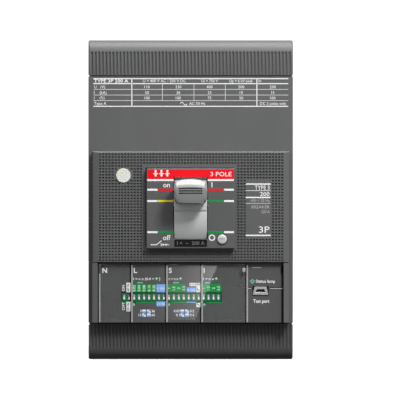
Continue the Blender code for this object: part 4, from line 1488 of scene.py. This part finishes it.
def makeSealPaper():
    material, tree, shader = newMaterial("sealPaper")
    place = objectPlace(tree)
    turned = addNode(
        tree, "ShaderNodeMapping", [("Vector", place), ("Rotation", (math.radians(90), 0, 0))]
    )
    cells = addNode(tree, "ShaderNodeTexBrick", [("Vector", turned.outputs[0]), ("Scale", 1.0)])
    setPlain(cells, {"Mortar Size": 0.00028, "Mortar Smooth": 0.3})
    setPlain(cells, {"Brick Width": 0.0026, "Row Height": 0.0011})
    setPlain(cells, {"Color1": (0.72, 0.56, 0.32, 1), "Color2": (0.55, 0.68, 0.74, 1)})
    setPlain(cells, {"Mortar": (0.74, 0.8, 0.74, 1)})
    shimmer = noiseAt(tree, place, 260.0)
    hue = addNode(tree, "ShaderNodeHueSaturation", [("Color", cells.outputs["Color"])])
    feed(tree, hue.inputs, {"Hue": spread(tree, shimmer, 0.47, 0.53)})
    feed(tree, shader.inputs, {"Base Color": hue.outputs[0]})
    feed(tree, shader.inputs, {"Roughness": spread(tree, shimmer, 0.25, 0.4)})
    setPlain(shader, {"Coat Weight": 0.5})
    bumpFrom(tree, shimmer, 0.1, 0.00005, shader)
    return material


sealPaper = makeSealPaper()
makeButtonAndSeal()


def makeTables():
    coverDepth = 70.7
    left, right = -50.0, 50.1
    thick, thin = 0.24, 0.1
    bars = [(left, right, z - thick, z + thick) for z in (62.15, 59.6, 47.95)]
    bars += [(left, right, z - thin, z + thin) for z in (56.65, 53.75, 50.9)]
    bars += [(x - thick, x + thick, 48.0, 62.2) for x in (-30.2, 34.0)]
    bars += [(x - thin, x + thin, 50.9, 59.6) for x in (-14.5, 1.7, 17.8)]
    rows = (60.3, 57.2, 54.3, 51.5, 48.7)
    height = 1.45
    columns = (-22.4, -6.3, 9.7, 26.0, 42.2)
    words = [("TYPE 3P 200 A", -49.6, 60.2, 1.6, {"align": "LEFT", "bold": 0.04, "width": 17.6})]
    words += [
        ("U = 400 V AC / 250 V DC", -13.5, rows[0], height, {"width": 22.0}),
        ("Ui = 750 V", 9.8, rows[0], height, {"width": 8.4}),
        ("Up = 6 kV peak", 25.9, rows[0], height, {"width": 12.0}),
        ("In", 34.9, rows[0], height, {"align": "LEFT"}),
    ]
    table = (
        ("U   (V)", "110", "230", "400", "500", "200"),
        ("I    (kA)", "50", "36", "25", "10", "15"),
        ("I    (%)", "100", "100", "75", "50", "100"),
    )
    for row, (label, *values) in zip(rows[1:], table):
        words.append((label, -49.6, row, height, {"align": "LEFT"}))
        words += [(value, x, row, height, {}) for value, x in zip(values, columns)]
    words.append(("Type A", -49.6, rows[4], height, {"align": "LEFT"}))
    words.append(("AC 50 Hz", 3.4, rows[4], height, {"width": 8.2}))
    words.append(("DC 2 poles only", 42.3, rows[4], height, {"width": 13.4}))
    printPiece("ratingTable", whiteInk, coverDepth, bars, words)
    # the sign for alternating current
    bm = bmesh.new()
    steps = 16
    wave = [(3.6 * i / steps, 0.75 * math.sin(2 * math.pi * i / steps)) for i in range(steps + 1)]
    outline = [(x, z + 0.22) for x, z in wave] + [(x, z - 0.22) for x, z in reversed(wave)]
    addSlab(bm, outline, frontAt(-5.4, rows[4] + 0.6, coverDepth - 0.01), printing["proud"])
    addPiece("waveSign", bm, whiteInk)
    panelDepth = 79.1
    left, right = 28.2, 40.9
    bars = [(left, right, z - 0.33, z + 0.33) for z in (8.0, 1.15, -18.25)]
    bars.append((left, right, 4.5, 4.75))
    words = [
        ("TYPE 3", 40.4, 5.2, 2.0, {"align": "RIGHT", "bold": 0.02, "width": 7.5}),
        ("200", 40.4, 1.9, 2.0, {"align": "RIGHT", "bold": 0.03, "width": 4.9}),
        ("3P", 40.4, -16.9, 3.2, {"align": "RIGHT", "bold": 0.02, "width": 5.4}),
    ]
    printPiece("panelLabelBright", whiteInk, panelDepth, bars, words)
    bars = [(left, right, -2.15, -1.7)]
    words = [
        ("400 V 50 Hz", 40.4, -1.15, 1.5, {"align": "RIGHT", "width": 9.6, "bold": 0.01}),
        ("BREAKER", 40.4, -4.5, 1.5, {"align": "RIGHT", "width": 9.2, "bold": 0.01}),
        ("200 A", 40.4, -6.9, 1.5, {"align": "RIGHT", "width": 4.2, "bold": 0.01}),
    ]
    printPiece("panelLabelGrey", greyInk, panelDepth, bars, words)


makeTables()

print("sides, ends and back")


def carve(bm, way, boxes, sunk, draft=0.25):
    # sinks windows into the outermost flat faces that look along way (an axis and a sign)
    axis, sign = way
    others = [i for i in range(3) if i != axis]
    reach = max(sign * vertex.co[axis] for vertex in bm.verts)

    def flat(face):
        centre = face.calc_center_median()
        return sign * face.normal[axis] > 0.999 and sign * centre[axis] > reach - 0.01

    first = sorted({value for box in boxes for value in box[:2]})
    second = sorted({value for box in boxes for value in box[2:]})
    lines = {0: (), 1: (), 2: ()}
    lines[others[0]], lines[others[1]] = first, second
    cutAlong(bm, lines[0], lines[2], flat, lines[1])

    def within(face):
        centre = face.calc_center_median()
        a, b = centre[others[0]], centre[others[1]]
        return any(box[0] < a < box[1] and box[2] < b < box[3] for box in boxes)

    chosen = [face for face in bm.faces if flat(face) and within(face)]
    bmesh.ops.inset_region(bm, faces=chosen, thickness=draft, depth=-sunk, use_even_offset=True)


sideLook = {
    "baseRows": ((-75.0, -47.0), (-44.0, -16.0), (-13.0, 13.0), (16.0, 44.0), (47.0, 75.0)),
    "baseDepths": (4.0, 43.0),
    "coverWindows": ((-66.5, -51.0, -20.0, -6.0), (-66.5, -51.0, 6.0, 20.0), (-66.5, -51.0, 36.0, 50.0)),
    "backColumns": (
        (-49.0, -36.5),
        (-33.5, -24.5),
        (-10.5, -1.5),
        (1.5, 10.5),
        (24.5, 33.5),
        (36.5, 49.0),
    ),
    "backRows": ((-76.0, -60.0), (-57.0, -31.0), (-28.0, -2.0), (2.0, 28.0), (31.0, 57.0), (60.0, 76.0)),
    "narrowColumns": ((-21.5, -13.5), (13.5, 21.5)),
    "sunk": 1.1,
    "edge": 0.4,
    "railSlope": 0.9,
}


def makeBase():
    bm = copyOfNode("base")
    rows, sunk = sideLook["backRows"], sideLook["sunk"]
    back = [(*column, *row) for column in sideLook["backColumns"] for row in rows]
    back += [(*column, *row) for column in sideLook["narrowColumns"] for row in rows[1:-1]]
    carve(bm, (1, 1), back, sunk)
    near, far = sideLook["baseDepths"]
    side = [(-far, -near, *row) for row in sideLook["baseRows"]]
    for sign in (-1, 1):
        carve(bm, (0, sign), side, 0.7)
    softEdges(bm, sideLook["edge"], 2, 50.0, lambda edge: edge.calc_length() > 8.0)
    addPiece("baseRibbed", bm, basePlastic, stands=["base"], fix=False)


def makeMainCover():
    bm = copyOfNode("main_cover")
    for vertex in bm.verts:
        if abs(vertex.co.x) > 49.9 and -vertex.co.y > 78.0:
            vertex.co.y += sideLook["railSlope"]
    for sign in (-1, 1):
        carve(bm, (0, sign), sideLook["coverWindows"], 0.5, 0.2)
    softEdges(bm, 0.5, 3, 50.0, lambda edge: edge.calc_length() > 8.0)
    addPiece("mainCoverShell", bm, casePlastic, stands=["main_cover"], fix=False)


def makeSeamShadows():
    # black bars in the seams above and below the main cover: painted shadow
    bm = bmesh.new()
    for sign in (-1, 1):
        near, far = sorted((sign * 63.2, sign * 63.72))
        addBox(bm, (-52.0, -70.1, near), (52.0, -50.0, far))
    addPiece("seamPaintedShadows", bm, blackPlastic)


makeBase()
makeMainCover()
makeSeamShadows()

print("screws")


def addTiers(bm, tiers, place, sides=36):
    # tiers are (radius, height, is it a hexagon), from the foot to the last cap
    def spot(angle, radius, hexagonal):
        if hexagonal:
            turn = (math.degrees(angle) % 60) - 30
            radius *= math.cos(math.radians(30)) / math.cos(math.radians(turn))
        return radius * math.cos(angle), radius * math.sin(angle)

    made = bmesh.new()
    radius, height, hexagonal = tiers[0]
    verts = []
    for i in range(sides):
        x, y = spot(2 * math.pi * i / sides, radius, hexagonal)
        verts.append(made.verts.new((x, y, height)))
    made.faces.new(verts)
    edges = list(made.edges)
    for radius, height, hexagonal in tiers[1:]:
        grown = bmesh.ops.extrude_edge_only(made, edges=edges)["geom"]
        for vertex in [item for item in grown if isinstance(item, bmesh.types.BMVert)]:
            x, y = spot(math.atan2(vertex.co.y, vertex.co.x), radius, hexagonal)
            vertex.co = (x, y, height)
        edges = [item for item in grown if isinstance(item, bmesh.types.BMEdge) and item.is_boundary]
    bmesh.ops.holes_fill(made, edges=edges, sides=0)
    bmesh.ops.recalc_face_normals(made, faces=made.faces)
    mergeIn(bm, made, place)


screwLook = {
    "terminalAt": 72.0,
    "barFront": 22.0,
    "coverAt": ((-43, 19), (43, 19), (-43, -27), (43, -27)),
}


def makeScrews():
    front = screwLook["barFront"]
    for side, end in (("Line", 1), ("Load", -1)):
        screws, washers = bmesh.new(), bmesh.new()
        for pole in poles:
            place = frontAt(pole, end * screwLook["terminalAt"], 0)
            ring = [(4.3, front), (8.6, front), (8.8, front + 0.2), (8.8, front + 1.4)]
            ring.append((8.6, front + 1.6))
            ring += [(4.3, front + 1.6), (4.3, front)]
            addTurned(washers, ring, place, 40)
            foot = front + 1.6
            head = [(3.9, 18.0, False), (3.9, foot, False), (6.4, foot, False), (6.5, foot + 0.3, False)]
            head += [(6.5, foot + 6.9, False), (6.0, foot + 7.5, False), (3.9, foot + 7.5, False)]
            head += [(3.5, foot + 7.0, True), (3.5, foot + 3.0, True)]
            addTiers(screws, head, place, 48)
        addPiece(f"terminalScrews{side}", screws, zincSteel, fix=False)
        addPiece(f"terminalWashers{side}", washers, springSteel, fix=False)
    bm = bmesh.new()
    for x, z in screwLook["coverAt"]:
        head = [(1.9, 66.0, False), (1.9, 70.7, False), (3.4, 70.7, False), (3.5, 70.9, False)]
        head += [(3.4, 71.9, False), (2.6, 72.7, False), (1.6, 73.0, False)]
        head += [(1.4, 72.8, True), (1.4, 71.6, True)]
        addTiers(bm, head, frontAt(x, z, 0), 36)
    addPiece("coverScrews", bm, zincSteel, fix=False)


makeScrews()

print("inside")


def makeTraceGroup():
    # rows of fine traces and round pads on a laminate
    group, given, result = newGroup(
        "boardTraces",
        [("Laminate", (0.02, 0.16, 0.06, 1.0)), ("Trace", (0.08, 0.3, 0.1, 1.0))],
        ["Color", "Height"],
    )
    place = objectPlace(group)
    lines = addNode(
        group,
        "ShaderNodeTexWave",
        [
            ("Vector", place),
            ("Scale", 260.0),
            ("Distortion", 5.0),
            ("Detail", 1.0),
            ("Detail Scale", 0.4),
        ],
    ).outputs["Fac"]
    pads = addNode(group, "ShaderNodeTexVoronoi", [("Vector", place), ("Scale", 420.0)])
    thin = doMath(group, "GREATER_THAN", lines, 0.72)
    dot = doMath(group, "LESS_THAN", pads.outputs["Distance"], 0.22)
    mask = doMath(group, "MAXIMUM", thin, dot)
    feed(group, result, {"Color": blend(group, mask, given["Laminate"], given["Trace"])})
    feed(group, result, {"Height": mask})
    return group


def makeWindingGroup():
    # turns of tape or wire that lie side by side along X
    group, given, result = newGroup(
        "woundTurns",
        [("Color", (0.5, 0.3, 0.1, 1.0)), ("Groove", (0.2, 0.1, 0.03, 1.0)), ("Turns", 300.0)],
        ["Color", "Height"],
    )
    place = objectPlace(group)
    turns = addNode(
        group,
        "ShaderNodeTexWave",
        [("Vector", place), ("Scale", given["Turns"]), ("Distortion", 0.6), ("Detail", 1.0)],
    ).outputs["Fac"]
    cloud = noiseAt(group, place, 200.0)
    color = blend(group, turns, given["Groove"], given["Color"])
    toned = tint(group, color, spread(group, cloud, 0.85, 1.05))
    feed(group, result, {"Color": toned, "Height": turns})
    return group


boardTraces = makeTraceGroup()
woundTurns = makeWindingGroup()


def laminate():
    material, tree, shader = newMaterial("boardLaminate")
    surface = useGroup(tree, boardTraces, {})
    feed(tree, shader.inputs, {"Base Color": surface["Color"]})
    setPlain(shader, {"Roughness": 0.35, "Coat Weight": 0.3})
    bumpFrom(tree, surface["Height"], 0.3, 0.00004, shader)
    return material


def winding(name, color, groove, turns, roughness):
    material, tree, shader = newMaterial(name)
    given = {"Color": (*color, 1.0), "Groove": (*groove, 1.0), "Turns": turns}
    surface = useGroup(tree, woundTurns, given)
    feed(tree, shader.inputs, {"Base Color": surface["Color"]})
    setPlain(shader, {"Roughness": roughness})
    bumpFrom(tree, surface["Height"], 0.4, 0.0001, shader)
    return material


boardGreen = laminate()
coreTape = winding("coreTape", (0.75, 0.62, 0.1), (0.5, 0.38, 0.05), 60.0, 0.4)
coilTape = winding("coilTape", (0.6, 0.32, 0.06), (0.3, 0.14, 0.03), 90.0, 0.35)

# name, material, slot and edge radius of what replaces each node
insideLook = {
    "arc_chute": ("arcChute", arcSteel, "arc_plate_steel", 0.12),
    "contact_shaft": ("rotorShaft", rotorPlastic, "black_plastic", 0.35),
    "cradle": ("cradlePlate", zincSteel, "zinc_steel", 0.2),
    "current_transformer": ("transformer", coreTape, "core_tape", 0.9),
    "handle_arm": ("toggleYoke", zincSteel, "zinc_steel", 0.25),
    "line_terminal": ("lineBar", copperBar, "copper", 0.3),
    "load_terminal": ("loadBar", copperBar, "copper", 0.3),
    "lower_link": ("lowerLinkPlates", zincSteel, "zinc_steel", 0.2),
    "upper_link": ("upperLinkPlates", zincSteel, "zinc_steel", 0.2),
    "main_spring": ("mainSpringCoil", springSteel, "spring_steel", 0.0),
    "mechanism_frame": ("mechanismPlates", zincSteel, "zinc_steel", 0.25),
    "moving_contact": ("contactArm", copperBar, "copper", 0.3),
    "panel_screw": ("sealedPanelScrew", zincSteel, "zinc_steel", 0.15),
    "trip_bar": ("tripBarLug", rotorPlastic, "black_plastic", 0.3),
    "trip_circuit_board": ("tripBoard", boardGreen, "board_laminate", 0.1),
    "trip_coil": ("tripCoilBody", coilTape, "coil_tape", 0.4),
    "trip_plunger": ("tripPlungerPin", zincSteel, "zinc_steel", 0.2),
}
# nodes that come once for each pole
perPole = ("arc_chute", "current_transformer", "line_terminal", "load_terminal", "moving_contact")
ridesOn = {
    "contact_shaft": "contacts",
    "moving_contact": "contacts",
    "handle_arm": "toggle",
    "main_spring": "toggle",
    "cradle": "cradle",
    "lower_link": "lower_link",
    "upper_link": "upper_link",
    "trip_bar": "trip_bar",
    "trip_plunger": "plunger",
}


def makeInside():
    for stem, (name, material, slot, edge) in insideLook.items():
        copies = [(stem, name)]
        if stem in perPole:
            sides = enumerate(("Left", "Middle", "Right"), 1)
            copies = [(f"{stem}_{number}", f"{name}{side}") for number, side in sides]
        for node, piece in copies:
            bm = copyOfNode(node)
            if edge:
                softEdges(bm, edge, 2, 50.0, longerThan(1.5))
            addPiece(piece, bm, material, ridesOn.get(stem, "case"), [node], 40.0, fix=False)


# middle, width and height of each chip, and the middle of each round can
boardLook = {
    "chips": ((2.0, -50.0, 9.0, 9.0), (18.0, -53.0, 6.0, 4.0), (28.0, -53.0, 6.0, 4.0)),
    "cans": ((-38.0, -53.0), (-38.0, -43.0), (38.0, -54.0)),
}


def makeBoardParts():
    rear = -nodeBox("trip_circuit_board")[1].y
    chips, legs, cans = bmesh.new(), bmesh.new(), bmesh.new()
    for x, z, wide, tall in boardLook["chips"]:
        near = (x - wide / 2, -rear + 0.2, z - tall / 2)
        addBox(chips, near, (x + wide / 2, -rear + 1.6, z + tall / 2), 0.12)
        count = int(wide)
        for i in range(count):
            at = x - (count - 1) / 2 + i
            for side in (-1, 1):
                foot, top = sorted((z + side * tall / 2, z + side * (tall / 2 + 0.9)))
                addBox(legs, (at - 0.2, -rear + 0.02, foot), (at + 0.2, -rear + 0.3, top))
    for x, z in boardLook["cans"]:
        can = [(0.0, rear), (2.9, rear), (2.9, rear - 0.4), (2.5, rear - 0.7), (2.9, rear - 1.0)]
        can += [(2.9, rear - 4.2), (2.6, rear - 4.5), (0.0, rear - 4.5)]
        addTurned(cans, can, frontAt(x, z, 0), 28)
    addPiece("boardChips", chips, blackPlastic)
    addPiece("boardChipLegs", legs, silverTip)
    addPiece("boardCapacitors", cans, zincSteel)


makeInside()
makeBoardParts()
